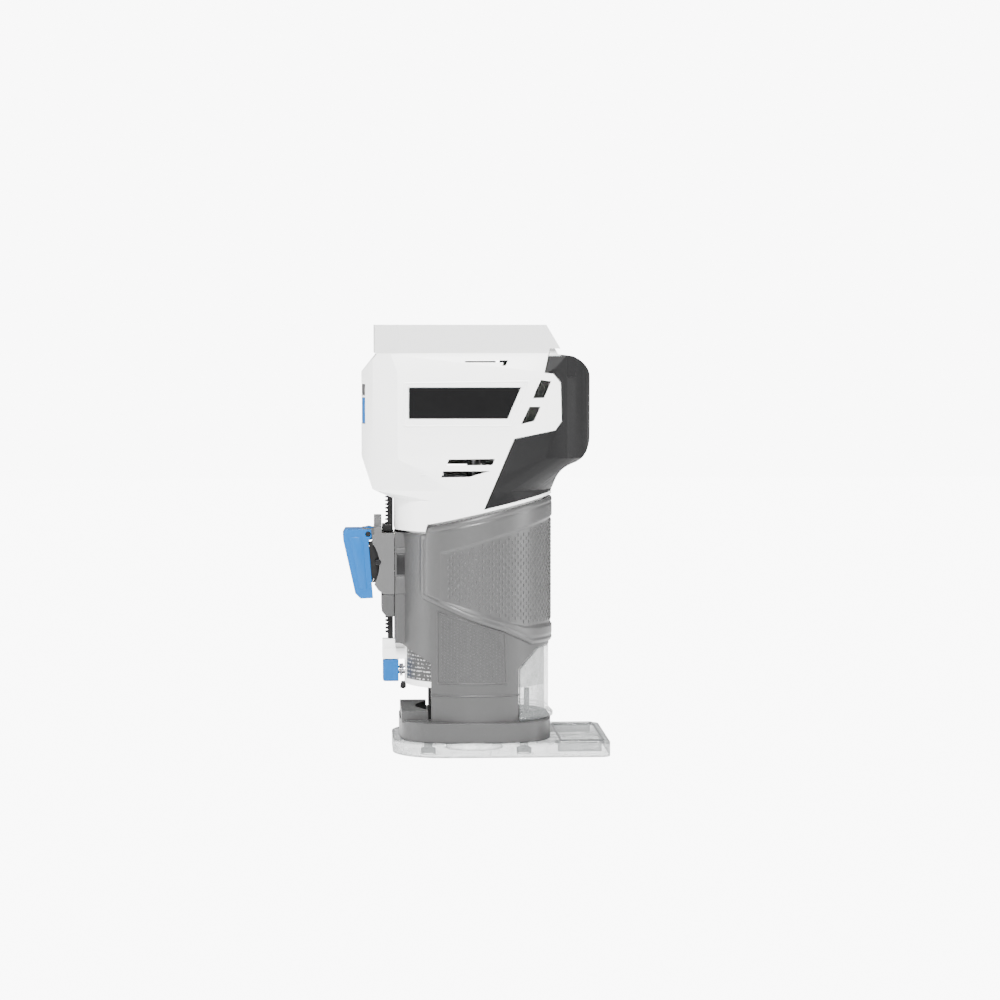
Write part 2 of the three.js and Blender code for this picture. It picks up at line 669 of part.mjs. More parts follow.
function housingForm(d) {
  const block = raised(housingPlan(d), blockBottom, bandBottom + 0.5, 8);
  const band = raised(bandPlan(d), bandBottom - 12, housingTop + 1);
  const shoulder = blend(nosePlan(d), noseBottom, housingPlan(d), blockBottom, 12);
  const chin = blend(neckPlan(d), noseBottom - 5.6 + d * 0.4, nosePlan(d), noseBottom, 12);
  const neck = raised(neckPlan(d), baseRimFront - 22, noseBottom + 4, 24);
  let form = block.add(band).add(shoulder).add(chin).add(neck);
  form = form.intersect(across(sideOutline(d), -60, 60, 8));
  return form.intersect(along(frontOutline(d), -80, 80));
}

// The side region that the rubber skin covers; a white edge of the housing shows below it.
function rubberRegion(grow) {
  const low = neckGap + rubberStripe - grow;
  const top = bandBottom + 3.4;
  const step = housingRear - grow;
  return outline([
    [step - 23.9, top], [step - 27.2, shoulderBottom - 0.2 - grow],
    [step - 22.3, shoulderBottom - 0.8 - grow], [step - 18.2, shoulderBottom - 5.6 - grow],
    [step - 17.6, shoulderBottom - 26.6 + grow], [step - 21, shoulderBottom - 31.5 + grow],
    [20.2 - grow, blockBottom + 10.9 + grow], [3.6 - grow * 1.2, rimAt(3.6) + low],
    [80, rimAt(80) + low], [80, top],
  ]);
}

// Two rows of vents low on each side, two slanting ones at the rear and a slot under the band.
function ventCuts() {
  const side = (points) => points.map(([x, z]) => [x, blockBottom + z]);
  const rear = (points) => points.map(([x, z]) => [housingRear - x, shoulderBottom + z]);
  const slot = (points) => points.map(([x, z]) => [x, bandBottom + z]);
  const cuts = [
    side([[-15.6, -0.3], [9.7, -0.1], [8.2, -3.5], [-16.8, -3.7]]),
    side([[-18.6, -6.7], [6.8, -6.7], [-4.4, -10], [-19.8, -10.2]]),
    rear([[29.5, -4], [23.4, -4.8], [27.3, -13.9], [33.4, -14.1]]),
    rear([[35.6, -18.7], [29.2, -18.7], [32.7, -26.5], [39.8, -28.2]]),
    slot([[-6.6, -3], [17, -3], [15.6, -6], [13.6, -6], [14.4, -4.2], [-6.6, -4.2]]),
  ];
  return cuts.map((points) => across(outline([...points].reverse()), -60, 60));
}

const badgeOutline = (grow) => outline([
  [-37.2 - grow, badgeTop + grow], [-37.2 - grow, badgeBottom - grow],
  [16.4 + grow * 0.6, badgeBottom - grow], [23.6 + grow * 1.6, badgeTop + grow],
]);

// The bay that the battery slides into, open at the top and the rear.
function dockCut() {
  const rear = box(30, 80, -bandHalfWidth + dockWall, bandHalfWidth - dockWall, dockFloor,
    housingTop + 5);
  return raised(bandPlan(dockWall), dockFloor, housingTop + 5).add(rear);
}

function housingBody() {
  const bare = housingForm(0).subtract(across(rubberRegion(0), -80, 80));
  const underRubber = housingForm(rubber + GAP).intersect(across(rubberRegion(2), -80, 80));
  let shell = bare.add(underRubber);
  const hollowTop = dockFloor - wall;
  const below = box(-80, 80, -60, 60, 90, hollowTop);
  const plain = housingForm(wall).subtract(across(rubberRegion(3.5), -80, 80));
  const deep = housingForm(rubber + GAP + wall);
  shell = shell.subtract(plain.add(deep).intersect(below));
  shell = shell.subtract(bar(motorRadius + GAP, 90, sleeveTop + 2));
  shell = shell.subtract(dockCut());
  for (const cut of ventCuts()) shell = shell.subtract(cut);
  const badges = across(badgeOutline(GAP), housingHalfWidth - badgeDepth - GAP, 60);
  shell = shell.subtract(bothSides(badges));
  for (const button of [onButton, offButton]) shell = shell.subtract(buttonOpening(button));
  const rackSlot = box(-rackFront - 0.6, -rackBack + 0.6, -rackHalfWidth - GAP,
    rackHalfWidth + GAP, baseRimFront - 12, rackTop + 1);
  return shell.subtract(rackSlot);
}

function housingHalves() {
  const body = housingBody();
  const near = body.intersect(box(-90, 90, -90, -GAP / 2, 80, housingTop + 10));
  const far = body.intersect(box(-90, 90, GAP / 2, 90, 80, housingTop + 10));
  return [largest(near), largest(far)];
}

// The one connected piece that a cut leaves, without its slivers.
function largest(body) {
  return body.decompose().sort((a, b) => b.volume() - a.volume())[0];
}

function rubberSkin() {
  const skin = housingForm(0).intersect(across(rubberRegion(-GAP * 1.5), -80, 80));
  const throat = raised(neckPlan(rubber), baseRimFront - 22, noseBottom, 24);
  let piece = skin.subtract(housingForm(rubber).add(throat));
  piece = piece.subtract(box(-80, 80, -80, 80, bandBottom - 0.6, housingTop + 10));
  return largest(piece);
}

// Two rails inside the band's walls, which the battery's shoe slides under.
function dockRail(side) {
  const inner = bandHalfWidth - dockWall - GAP;
  const rail = box(-30, 36, inner - 3.2, inner, housingTop - 6.4, housingTop - 2.6);
  const foot = box(-30, 36, inner - 1.4, inner, dockFloor + GAP, housingTop - 5);
  const piece = rail.add(foot);
  return side < 0 ? piece.mirror([0, 1, 0]) : piece;
}

const terminalFront = 7.7 - bandFront;
const terminalBack = terminalFront + 18;
const bladePitch = 9;

function terminalBlock() {
  let block = box(terminalFront, terminalBack, -17, 17, dockFloor + GAP, dockFloor + 11);
  for (const i of [-1, 0, 1]) {
    const y = i * bladePitch;
    block = block.subtract(box(terminalFront + 5, terminalBack + 5, y - 2.2, y + 2.2,
      dockFloor + 3, dockFloor + 15));
  }
  return block;
}

function terminalBlade(i) {
  const y = i * bladePitch;
  return box(terminalFront + 5 + GAP, terminalBack + 3, y - 0.5, y + 0.5, dockFloor + 3 + GAP,
    dockFloor + 9.5);
}

// The motor sleeve: the moulded tube that slides in the base, with the rack's foot on its front.
function motorSleeve() {
  let sleeve = tube(motorRadius, motorInner, unitBottom, sleeveTop);
  sleeve = sleeve.add(tube(motorRadius - 1, 16, unitBottom, unitBottom + 3));
  const bore = bar(motorRadius - 1, 0, 300);
  const front = -rackFront - 1.6;
  const foot = box(front, -30, -footBlockHalf, footBlockHalf, footBlockBottom, footBlockTop);
  const neck = box(front, -30, -rackHalfWidth, rackHalfWidth, footBlockTop - 0.6,
    rackBottom - GAP);
  sleeve = sleeve.add(foot.add(neck).subtract(bore));
  const pinHole = frontBar(lockPinRadius + 0.2, -60, -20, 0, lockHeight);
  return sleeve.subtract(pinHole);
}

// The spindle-lock button, with the steel pin that it drives at the shaft's flats.
function lockButton() {
  const body = outline([
    [-lockFront, lockBottom + 0.6], [-lockFront + 0.8, lockBottom], [-lockBack, lockBottom],
    [-lockBack, lockTop], [-lockFront + 0.6, lockTop], [-lockFront, lockTop - 0.6],
  ]);
  const button = across(body, -lockHalf, lockHalf);
  return button.subtract(frontBar(lockPinRadius + GAP, -lockBack - 5.6, -30, 0, lockHeight));
}

function lockPin() {
  const clear = bar(shaftRadius + 4.2, 0, 100);
  const pin = frontBar(lockPinRadius, -lockBack - 5.3, -shaftRadius - 4, 0, lockHeight);
  return pin.subtract(clear);
}

// A small coil spring round the pin, between button and sleeve.
function lockSpring() {
  const turns = 2.5;
  const radius = lockPinRadius + 1.1;
  const path = new THREE.Curve();
  path.getPoint = (t) => {
    const a = 2 * Math.PI * turns * t;
    return new THREE.Vector3(-motorRadius - 2.8 + 1.9 * t, radius * Math.cos(a),
      lockHeight + radius * Math.sin(a));
  };
  const wire = new THREE.Shape();
  wire.absarc(0, 0, 0.32, 0, 2 * Math.PI);
  return solid(new THREE.ExtrudeGeometry(wire, { steps: 40, extrudePath: path, curveSegments: 3 }));
}

// A button's outline follows the flat front and the start of the facets beside it.
function onOffButton({ low, high }) {
  const front = -housingFront + buttonInset;
  const fall = facetFall * (buttonHalf - facetStart) / (facetEnd - facetStart);
  const plan = outline([
    [front, -facetStart], [front + fall - 0.2, -buttonHalf], [front + 11, -buttonHalf],
    [front + 11, buttonHalf], [front + fall - 0.2, buttonHalf], [front, facetStart],
  ]);
  return raised(plan, low, high);
}

function buttonOpening({ low, high }) {
  return box(-80, -housingFront + 12, -buttonHalf - GAP, buttonHalf + GAP, low - GAP, high + GAP);
}

function switchBody() {
  return box(-housingFront + 14.1, -housingFront + 24.7, -9, 9, onButton.low - 1.7,
    offButton.high + 1);
}

function controlBoard() {
  return box(-34, 26, -28, 28, dockFloor - 14, dockFloor - 12.4);
}

// The plate behind the front wall that guides the two buttons, bent to follow the facets.
function switchBezel() {
  const front = -housingFront + wall + GAP;
  const edge = buttonHalf + 4;
  const fall = facetFall * (edge - facetStart) / (facetEnd - facetStart) + 0.4;
  const plan = outline([
    [front, -facetStart + 1], [front + fall, -edge], [front + fall + 2, -edge],
    [front + 2, -facetStart + 2], [front + 2, facetStart - 2], [front + fall + 2, edge],
    [front + fall, edge], [front, facetStart - 1],
  ]);
  const plate = raised(plan, onButton.low - 4.1, offButton.high + 4.4);
  return plate.subtract(buttonOpening(onButton)).subtract(buttonOpening(offButton));
}

// ---------------------------------------------------------------- motor
function fieldMagnet(side) {
  const outer = motorInner - GAP;
  const ring = tube(outer, outer - magnetWall, magnetBottom, magnetBottom + 54, 32);
  const half = ring.intersect(box(-60, 60, 1.5, 60, 0, 200));
  return side < 0 ? half.mirror([0, 1, 0]) : half;
}

function bearing(z, height, outer) {
  return tube(outer, shaftRadius + GAP, z, z + height, 24);
}

function bearingPlate(z, hole) {
  const outer = motorInner - GAP;
  let plate = tube(outer, hole + GAP, z, z + 5, 32);
  for (let i = 0; i < 6; i += 1) {
    const a = ((i + 0.5) * Math.PI) / 3;
    const middle = outer - 11.3;
    plate = plate.subtract(bar(5, z - 1, z + 6, 12, middle * Math.cos(a), middle * Math.sin(a)));
  }
  return plate;
}

function shaft() {
  let spindle = bar(shaftRadius, colletNutBottom + 14, shaftTop, 24);
  spindle = spindle.add(bar(shaftRadius + 3.4, colletNutBottom + 14, lowerPlateBottom - 1, 24));
  // Four cross holes in the collar, any of which takes the lock pin.
  for (const a of [0, 90, 180, 270]) {
    const hole = frontBar(lockPinRadius + 0.4, -20, -shaftRadius - 1.2, 0, lockHeight);
    spindle = spindle.subtract(hole.rotate([0, 0, a]));
  }
  return spindle;
}

function armatureCore() {
  const slots = 12;
  let core = tube(armatureRadius, shaftRadius + GAP, coreBottom, coreTop, 36);
  for (let i = 0; i < slots; i += 1) {
    const a = (2 * Math.PI * i) / slots;
    const slot = box(armatureRadius - 8, armatureRadius + 2, -1.4, 1.4, coreBottom - 5,
      coreTop + 5);
    core = core.subtract(slot.rotate([0, 0, (a * 180) / Math.PI]));
  }
  return core;
}

function windingEnd(z) {
  const outer = armatureRadius - 3;
  return turned([[8, z], [outer - 2, z], [outer, z + 2.5], [outer - 2, z + 7], [8, z + 7]], 24);
}

function commutator() {
  let drum = tube(11, shaftRadius + GAP, commutatorBottom, commutatorBottom + 12, 24);
  for (let i = 0; i < 12; i += 1) {
    const slit = box(9.8, 12, -0.4, 0.4, commutatorBottom - 1, commutatorBottom + 13);
    drum = drum.subtract(slit.rotate([0, 0, 30 * i + 7.5]));
  }
  return drum;
}

function coolingFan() {
  const blades = 11;
  let fan = tube(fanRadius, shaftRadius + GAP, fanBottom, fanBottom + 1.6, 44);
  fan = fan.add(tube(9, shaftRadius + GAP, fanBottom, fanBottom + 7.5, 24));
  for (let i = 0; i < blades; i += 1) {
    const blade = box(8, fanRadius - 0.5, -0.7, 0.7, fanBottom + 1, fanBottom + 7.5);
    fan = fan.add(blade.rotate([0, 0, (360 * i) / blades]));
  }
  return fan;
}

function brush(side) {
  const carbon = box(11.5, 18, -3, 3, commutatorBottom + 2.5, commutatorBottom + 9.5);
  return side < 0 ? carbon.mirror([1, 0, 0]) : carbon;
}

function brushHolder(side) {
  let holder = box(13.5, 27, -5, 5, commutatorBottom + 0.5, commutatorBottom + 11.5);
  holder = holder.subtract(box(10, 18 + GAP, -3 - GAP, 3 + GAP, commutatorBottom + 2.5 - GAP,
    commutatorBottom + 9.5 + GAP));
  return side < 0 ? holder.mirror([1, 0, 0]) : holder;
}

function colletNut() {
  let nut = bar(colletNutRadius, colletNutBottom, colletNutBottom + colletNutHeight, 6);
  nut = nut.intersect(turned([
    [0.01, colletNutBottom], [colletNutRadius - 1.6, colletNutBottom],
    [colletNutRadius, colletNutBottom + 1.6], [colletNutRadius, colletNutBottom + colletNutHeight],
    [0.01, colletNutBottom + colletNutHeight],
  ], 36));
  return nut.subtract(bar(5.4, 0, colletNutBottom + 20, 24));
}

function collet() {
  let sleeve = tube(5.1, 3.175, colletNutBottom - 1, colletNutBottom + colletNutHeight, 24);
  for (const a of [0, 60, 120]) {
    sleeve = sleeve.subtract(box(-8, 8, -0.35, 0.35, 0, colletNutBottom + 9).rotate([0, 0, a]));
  }
  return sleeve;
}

function lampLens() {
  return turned([[17, unitBottom - 1.6], [22, unitBottom - 1.6], [23, unitBottom - GAP],
    [17, unitBottom - GAP]], 36);
}

// ---------------------------------------------------------------- assembly
part("base_casting", "greyCasting", baseCasting());
part("base_grip", "greyCasting", baseGrip());
part("sub_base", "clear", subBase());
screwPlaces.forEach(([x, y], i) => {
  part(`sub_base_screw_${i + 1}`, "steel", subBaseScrew(x, y));
});
part("chip_shield", "clear", chipShield());
part("chip_shield_catch", "greyCasting", shieldCatch());
part("adjuster_bracket", "lightGrey", adjusterBracket());
part("rack_steady_near", "greyCasting", steadyBlock(-1));
part("rack_steady_far", "greyCasting", steadyBlock(1));
part("rack_bush", "black", rackBush());
part("thumbwheel_pin", "steel", crossBar(wheelBore, -cheekOuter - 0.4, cheekOuter + 0.4, wheelX,
  wheelHeight));
part("lever_pin", "steel", crossBar(pinRadius, -leverWidth / 2 + 0.2, leverWidth / 2 - 0.2,
  leverPivotX, leverPivotZ));
part("depth_thumbwheel", "black", thumbwheel());
part("clamp_lever", "blue", clampLever());
part("clamp_shoe", "steel", clampShoe());

const [nearShell, farShell] = housingHalves();
part("housing_near", "whiteShell", nearShell);
part("housing_far", "whiteShell", farShell);
part("rubber_grip", "rubber", rubberSkin());
part("motor_sleeve", "whiteShell", motorSleeve());
part("depth_rack", "black", rack());
const badge = across(badgeOutline(0), housingHalfWidth - badgeDepth, housingHalfWidth - 0.2);
part("badge_far", "black", badge);
part("badge_near", "black", badge.mirror([0, 1, 0]));
part("dock_rail_near", "black", dockRail(-1));
part("dock_rail_far", "black", dockRail(1));
part("terminal_block", "black", terminalBlock());
[-1, 0, 1].forEach((i, n) => part(`terminal_blade_${n + 1}`, "copper", terminalBlade(i)));
part("control_board", "board", controlBoard());
part("switch_bezel", "whiteShell", switchBezel());
part("switch_body", "black", switchBody());
part("on_button", "blue", onOffButton(onButton));
part("off_button", "lightGrey", onOffButton(offButton));
part("lock_button", "blue", lockButton());
part("lock_pin", "steel", lockPin());
part("lock_spring", "steel", lockSpring());
part("magnet_near", "steel", fieldMagnet(-1));
part("magnet_far", "steel", fieldMagnet(1));
part("lower_bearing_plate", "greyCasting", bearingPlate(lowerPlateBottom, 11));
part("upper_bearing_plate", "greyCasting", bearingPlate(upperPlateBottom, 9));
part("lower_bearing", "steel", bearing(lowerPlateBottom, 5, 11));
part("upper_bearing", "steel", bearing(upperPlateBottom, 5, 9));
part("brush_holder_front", "black", brushHolder(-1));
part("brush_holder_rear", "black", brushHolder(1));
part("brush_front", "black", brush(-1));
part("brush_rear", "black", brush(1));
part("lamp_lens", "clear", lampLens());
part("spindle_shaft", "steel", shaft());
part("armature_core", "steel", armatureCore());
part("winding_lower", "copper", windingEnd(coreBottom - 7.4));
part("winding_upper", "copper", windingEnd(coreTop + 0.4));
part("commutator", "copper", commutator());
part("cooling_fan", "black", coolingFan());
part("collet", "steel", collet());
part("collet_nut", "steel", colletNut());

export default router;
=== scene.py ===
# A cordless trim router: the finished look of every piece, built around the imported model.
import json
import math

import bmesh
import bpy
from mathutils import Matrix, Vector


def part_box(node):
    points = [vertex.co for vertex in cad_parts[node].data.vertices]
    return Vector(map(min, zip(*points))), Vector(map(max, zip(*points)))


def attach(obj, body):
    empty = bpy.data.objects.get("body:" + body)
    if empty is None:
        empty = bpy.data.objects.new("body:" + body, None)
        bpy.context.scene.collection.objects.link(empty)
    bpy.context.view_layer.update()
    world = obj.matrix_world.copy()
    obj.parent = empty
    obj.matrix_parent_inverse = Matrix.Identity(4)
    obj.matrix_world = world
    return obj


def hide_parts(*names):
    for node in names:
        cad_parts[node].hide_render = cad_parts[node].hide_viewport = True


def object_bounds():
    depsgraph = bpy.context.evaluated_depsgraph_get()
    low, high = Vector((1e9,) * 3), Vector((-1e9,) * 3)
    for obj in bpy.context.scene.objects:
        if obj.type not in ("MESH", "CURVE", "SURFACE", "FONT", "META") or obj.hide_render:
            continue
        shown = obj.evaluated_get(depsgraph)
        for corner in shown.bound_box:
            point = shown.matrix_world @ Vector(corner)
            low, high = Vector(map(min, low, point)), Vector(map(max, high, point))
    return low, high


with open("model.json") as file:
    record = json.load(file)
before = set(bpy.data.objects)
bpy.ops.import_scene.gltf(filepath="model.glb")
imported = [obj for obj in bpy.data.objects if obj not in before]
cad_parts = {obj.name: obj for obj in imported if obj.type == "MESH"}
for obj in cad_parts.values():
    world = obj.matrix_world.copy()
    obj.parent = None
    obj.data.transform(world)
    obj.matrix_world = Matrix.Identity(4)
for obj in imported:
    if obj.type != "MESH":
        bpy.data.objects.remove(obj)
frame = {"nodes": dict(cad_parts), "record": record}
cad_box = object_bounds()
MM = 0.001

# ------------------------------------------------------------------ studio
# A pale flat card and backdrop under large soft lights, as for a catalogue. The camera stands
# level with the top of the tool, a little round to its front, with a long lens.
low, high = cad_box
card = bpy.data.meshes.new("floor_card")
reach = 3.0
card.from_pydata(
    [(-reach, -reach, 0), (reach, -reach, 0), (reach, reach, 0), (-reach, reach, 0)],
    [], [(0, 1, 2, 3)],
)
floor = bpy.data.objects.new("floor_card", card)
bpy.context.collection.objects.link(floor)

# The camera sees the card as glowing white; to every other ray it is plain matt card.
card_glow = 9.4
card_material = bpy.data.materials.new("card")
card_material.use_nodes = True
card.materials.append(card_material)
card_tree = card_material.node_tree
card_matt = card_tree.nodes["Principled BSDF"]
card_matt.inputs["Base Color"].default_value = (0.92, 0.92, 0.92, 1)
card_matt.inputs["Roughness"].default_value = 0.9
card_bright = card_tree.nodes.new("ShaderNodeEmission")
card_bright.inputs["Strength"].default_value = card_glow
card_ray = card_tree.nodes.new("ShaderNodeLightPath")
card_mix = card_tree.nodes.new("ShaderNodeMixShader")
card_tree.links.new(card_ray.outputs["Is Camera Ray"], card_mix.inputs[0])
card_tree.links.new(card_matt.outputs["BSDF"], card_mix.inputs[1])
card_tree.links.new(card_bright.outputs["Emission"], card_mix.inputs[2])
card_tree.links.new(card_mix.outputs[0], card_tree.nodes["Material Output"].inputs["Surface"])

# The backdrop, too, is brighter to the camera than the light that it gives the tool.
backdrop_seen = 9.0
backdrop_light = 0.5
world = bpy.data.worlds.new("studio")
bpy.context.scene.world = world
world.use_nodes = True
sky_tree = world.node_tree
sky = sky_tree.nodes["Background"]
sky.inputs["Color"].default_value = (1, 1, 1, 1)
sky_ray = sky_tree.nodes.new("ShaderNodeLightPath")
sky_mix = sky_tree.nodes.new("ShaderNodeMix")
sky_mix.inputs["A"].default_value = backdrop_light
sky_mix.inputs["B"].default_value = backdrop_seen
sky_tree.links.new(sky_ray.outputs["Is Camera Ray"], sky_mix.inputs["Factor"])
sky_tree.links.new(sky_mix.outputs["Result"], sky.inputs["Strength"])


def soft_light(name, place, aim, width, height, power):
    """A rectangular soft box, in metres and watts, turned towards the tool."""
    lamp = bpy.data.lights.new(name, "AREA")
    lamp.shape = "RECTANGLE"
    lamp.size = width
    lamp.size_y = height
    lamp.energy = power
    holder = bpy.data.objects.new(name, lamp)
    bpy.context.collection.objects.link(holder)
    holder.location = place
    holder.rotation_euler = (Vector(aim) - Vector(place)).to_track_quat("-Z", "Y").to_euler()


middle = (low + high) / 2
soft_light("key_light", (-0.15, -1.2, 0.95), middle, 0.3, 0.3, 60)
soft_light("side_light", (1.15, -0.35, 0.3), middle, 0.15, 0.9, 16)
soft_light("top_light", (0.1, -0.05, 1.2), middle, 0.4, 0.5, 44)
soft_light("back_light", (-1.1, -0.1, 0.3), middle, 0.15, 0.9, 14)

sensor = 36
camera_distance = 1.7
camera_turn = math.radians(-3)
camera_drop = math.radians(3.3)
view_width = 0.56
look_at = Vector((0.0146, 0, 0.139))
away = Vector((
    math.sin(camera_turn) * math.cos(camera_drop),
    -math.cos(camera_turn) * math.cos(camera_drop),
    math.sin(camera_drop),
))
camera_data = bpy.data.cameras.new("camera")
camera_data.sensor_width = sensor
camera_data.lens = sensor * camera_distance / view_width
camera = bpy.data.objects.new("camera", camera_data)
bpy.context.collection.objects.link(camera)
camera.location = look_at + away * camera_distance
camera.rotation_euler = (-away).to_track_quat("-Z", "Y").to_euler()
bpy.context.scene.camera = camera


# ------------------------------------------------------------------ base casting
# A light alloy casting, powder coated mid grey: the bored sleeve with its two side posts, the front
# block for the adjuster and the rounded-square foot, all in one piece with small cast radii.
class Wire:
    """A shader value that can be added, taken away and multiplied."""

    def __init__(self, tree, socket):
        self.tree = tree
        self.socket = socket

    def sum(self, operation, *values):
        node = self.tree.nodes.new("ShaderNodeMath")
        node.operation = operation
        for place, value in zip(node.inputs, values):
            if isinstance(value, Wire):
                self.tree.links.new(value.socket, place)
            else:
                place.default_value = value
        return Wire(self.tree, node.outputs[0])

    def __add__(self, other):
        return self.sum("ADD", self, other)

    __radd__ = __add__

    def __sub__(self, other):
        return self.sum("SUBTRACT", self, other)

    def __rsub__(self, other):
        return self.sum("SUBTRACT", other, self)

    def __mul__(self, other):
        return self.sum("MULTIPLY", self, other)

    __rmul__ = __mul__

    def clip(self):
        return self.sum("MINIMUM", self.sum("MAXIMUM", self, 0), 1)


class Finish:
    """A material under construction, with the surface's own shader."""

    def __init__(self, name, **constants):
        self.material = bpy.data.materials.new(name)
        self.material.use_nodes = True
        self.tree = self.material.node_tree
        self.shader = self.tree.nodes["Principled BSDF"]
        for socket, value in constants.items():
            self.shader.inputs[socket.replace("_", " ")].default_value = value

    def node(self, kind, settings=None, out=0, **values):
        made = self.tree.nodes.new(kind)
        for key, value in (settings or {}).items():
            setattr(made, key, value)
        for name, value in values.items():
            names = [s for s in made.inputs if s.name == name.replace("_", " ") and s.enabled]
            if isinstance(value, Wire):
                self.tree.links.new(value.socket, names[0])
            else:
                names[0].default_value = value
        return Wire(self.tree, made.outputs[out])

    def place(self):
        """Where a point lies in the piece's own frame, in metres."""
        return self.node("ShaderNodeTexCoord", out=3)

    def noise(self, scale, detail=2.0, roughness=0.5):
        return self.node("ShaderNodeTexNoise", Vector=self.place(), Scale=scale, Detail=detail,
                         Roughness=roughness)

    def blend(self, factor, first, second):
        node = self.tree.nodes.new("ShaderNodeMix")
        node.data_type = "RGBA"
        colours = [s for s in node.inputs if s.type == "RGBA"]
        for socket, value in ((node.inputs[0], factor), (colours[0], first), (colours[1], second)):
            if isinstance(value, Wire):
                self.tree.links.new(value.socket, socket)
            elif socket.type == "RGBA":
                socket.default_value = (*value, 1)
            else:
                socket.default_value = value
        return Wire(self.tree, [s for s in node.outputs if s.type == "RGBA"][0])

    def feed(self, socket, value):
        self.tree.links.new(value.socket, self.shader.inputs[socket])

    def edges(self, radius):
        """1 on edges sharper than the radius, 0 on open faces, and the rounded normal."""
        rounded = self.node("ShaderNodeBevel", {"samples": 4}, Radius=radius)
        facing = self.node("ShaderNodeNewGeometry", out=1)
        product = self.node("ShaderNodeVectorMath", {"operation": "DOT_PRODUCT"}, out=1)
        dot = product.socket.node
        self.tree.links.new(rounded.socket, dot.inputs[0])
        self.tree.links.new(facing.socket, dot.inputs[1])
        return ((1 - product) * 5).clip(), rounded

    def bump(self, height, depth, strength=1.0, normal=None):
        node = self.tree.nodes.new("ShaderNodeBump")
        node.inputs["Strength"].default_value = strength
        node.inputs["Distance"].default_value = depth
        self.tree.links.new(height.socket, node.inputs["Height"])
        if normal is not None:
            self.tree.links.new(normal.socket, node.inputs["Normal"])
        self.feed("Normal", Wire(self.tree, node.outputs[0]))


def moulded(name, colour, worn, roughness, grain, depth, wear=0.35, spread=0.06, band=None,
            **constants):
    """Moulded or coated surface: fine even grain, faint mottling, scuffed sheen, rubbed edges.
    A band is a height, in metres, above which painted shade gives the plastic another colour."""
    edge_radius = 0.35 * MM
    finish = Finish(name, **constants)
    mottle = finish.noise(38, 3)
    scuffs = finish.noise(210, 4, 0.7)
    edge, rounded = finish.edges(edge_radius)
    rubbed = (edge * (scuffs * 1.6 - 0.25).clip() * wear).clip()
    darker = tuple(c * (1 - spread) for c in colour)
    tone = finish.blend(mottle, darker, tuple(min(1, c * (1 + spread)) for c in colour))
    # Above the band's height the colour is painted shade, not a different plastic.
    if band:
        height, painted_shade_above = band
        crispness = 8000
        level = finish.node("ShaderNodeSeparateXYZ", out=2, Vector=finish.place())
        tone = finish.blend(((level - height) * crispness).clip(), tone, painted_shade_above)
    finish.feed("Base Color", finish.blend(rubbed, tone, worn))
    finish.feed("Roughness", (mottle * 0.08 + scuffs * 0.1 + (roughness - 0.09)).clip())
    finish.bump(finish.noise(grain, 2, 0.6), depth, 0.6, rounded)
    return finish.material


casting_grey = moulded("powder_coat", (0.034, 0.034, 0.034), (0.12, 0.12, 0.12), 0.42, 2600,
                       0.05 * MM, Specular_IOR_Level=0.4)


def new_piece(name, mesh):
    piece = bpy.data.objects.new(name, mesh)
    bpy.context.collection.objects.link(piece)
    return piece


def shade(mesh, angle=32):
    for face in mesh.polygons:
        face.use_smooth = True
    mesh.set_sharp_from_angle(angle=math.radians(angle))


def bake(piece):
    """Work a piece's modifiers into its mesh."""
    depsgraph = bpy.context.evaluated_depsgraph_get()
    depsgraph.update()
    mesh = bpy.data.meshes.new_from_object(piece.evaluated_get(depsgraph))
    piece.modifiers.clear()
    piece.data = mesh


def body_of(node):
    for body, nodes in frame["record"]["behaviour"]["bodies"].items():
        if node in nodes:
            return body
    raise ValueError(node)


def slot_of(node):
    return next(s["material_slot"] for s in frame["record"]["subparts"] if s["node"] == node)


def rounded_copy(node, material, width, segments=2):
    """A CAD piece with its edges broken to a radius in mm, standing for the plain one."""
    name = node + "_finished"
    same_point = 0.004 * MM
    flat_enough = math.radians(0.8)
    sharp = math.radians(33)
    shape = bmesh.new()
    shape.from_mesh(frame["nodes"][node].data)
    bmesh.ops.remove_doubles(shape, verts=shape.verts, dist=same_point)
    bmesh.ops.dissolve_limit(shape, angle_limit=flat_enough, verts=shape.verts,
                             edges=shape.edges)
    mesh = bpy.data.meshes.new(name)
    shape.to_mesh(mesh)
    shape.free()
    mesh.materials.clear()
    mesh.materials.append(material)
    shade(mesh)
    piece = new_piece(name, mesh)
    soften = piece.modifiers.new("soften", "BEVEL")
    soften.width = width * MM
    soften.segments = segments
    soften.limit_method = "ANGLE"
    soften.angle_limit = sharp
    soften.use_clamp_overlap = True
    soften.harden_normals = True
    even = piece.modifiers.new("even", "WEIGHTED_NORMAL")
    even.keep_sharp = True
    bake(piece)
    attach(piece, body_of(node))
    slot_of(node)
    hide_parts(node)


rounded_copy("base_casting", casting_grey, 0.5)


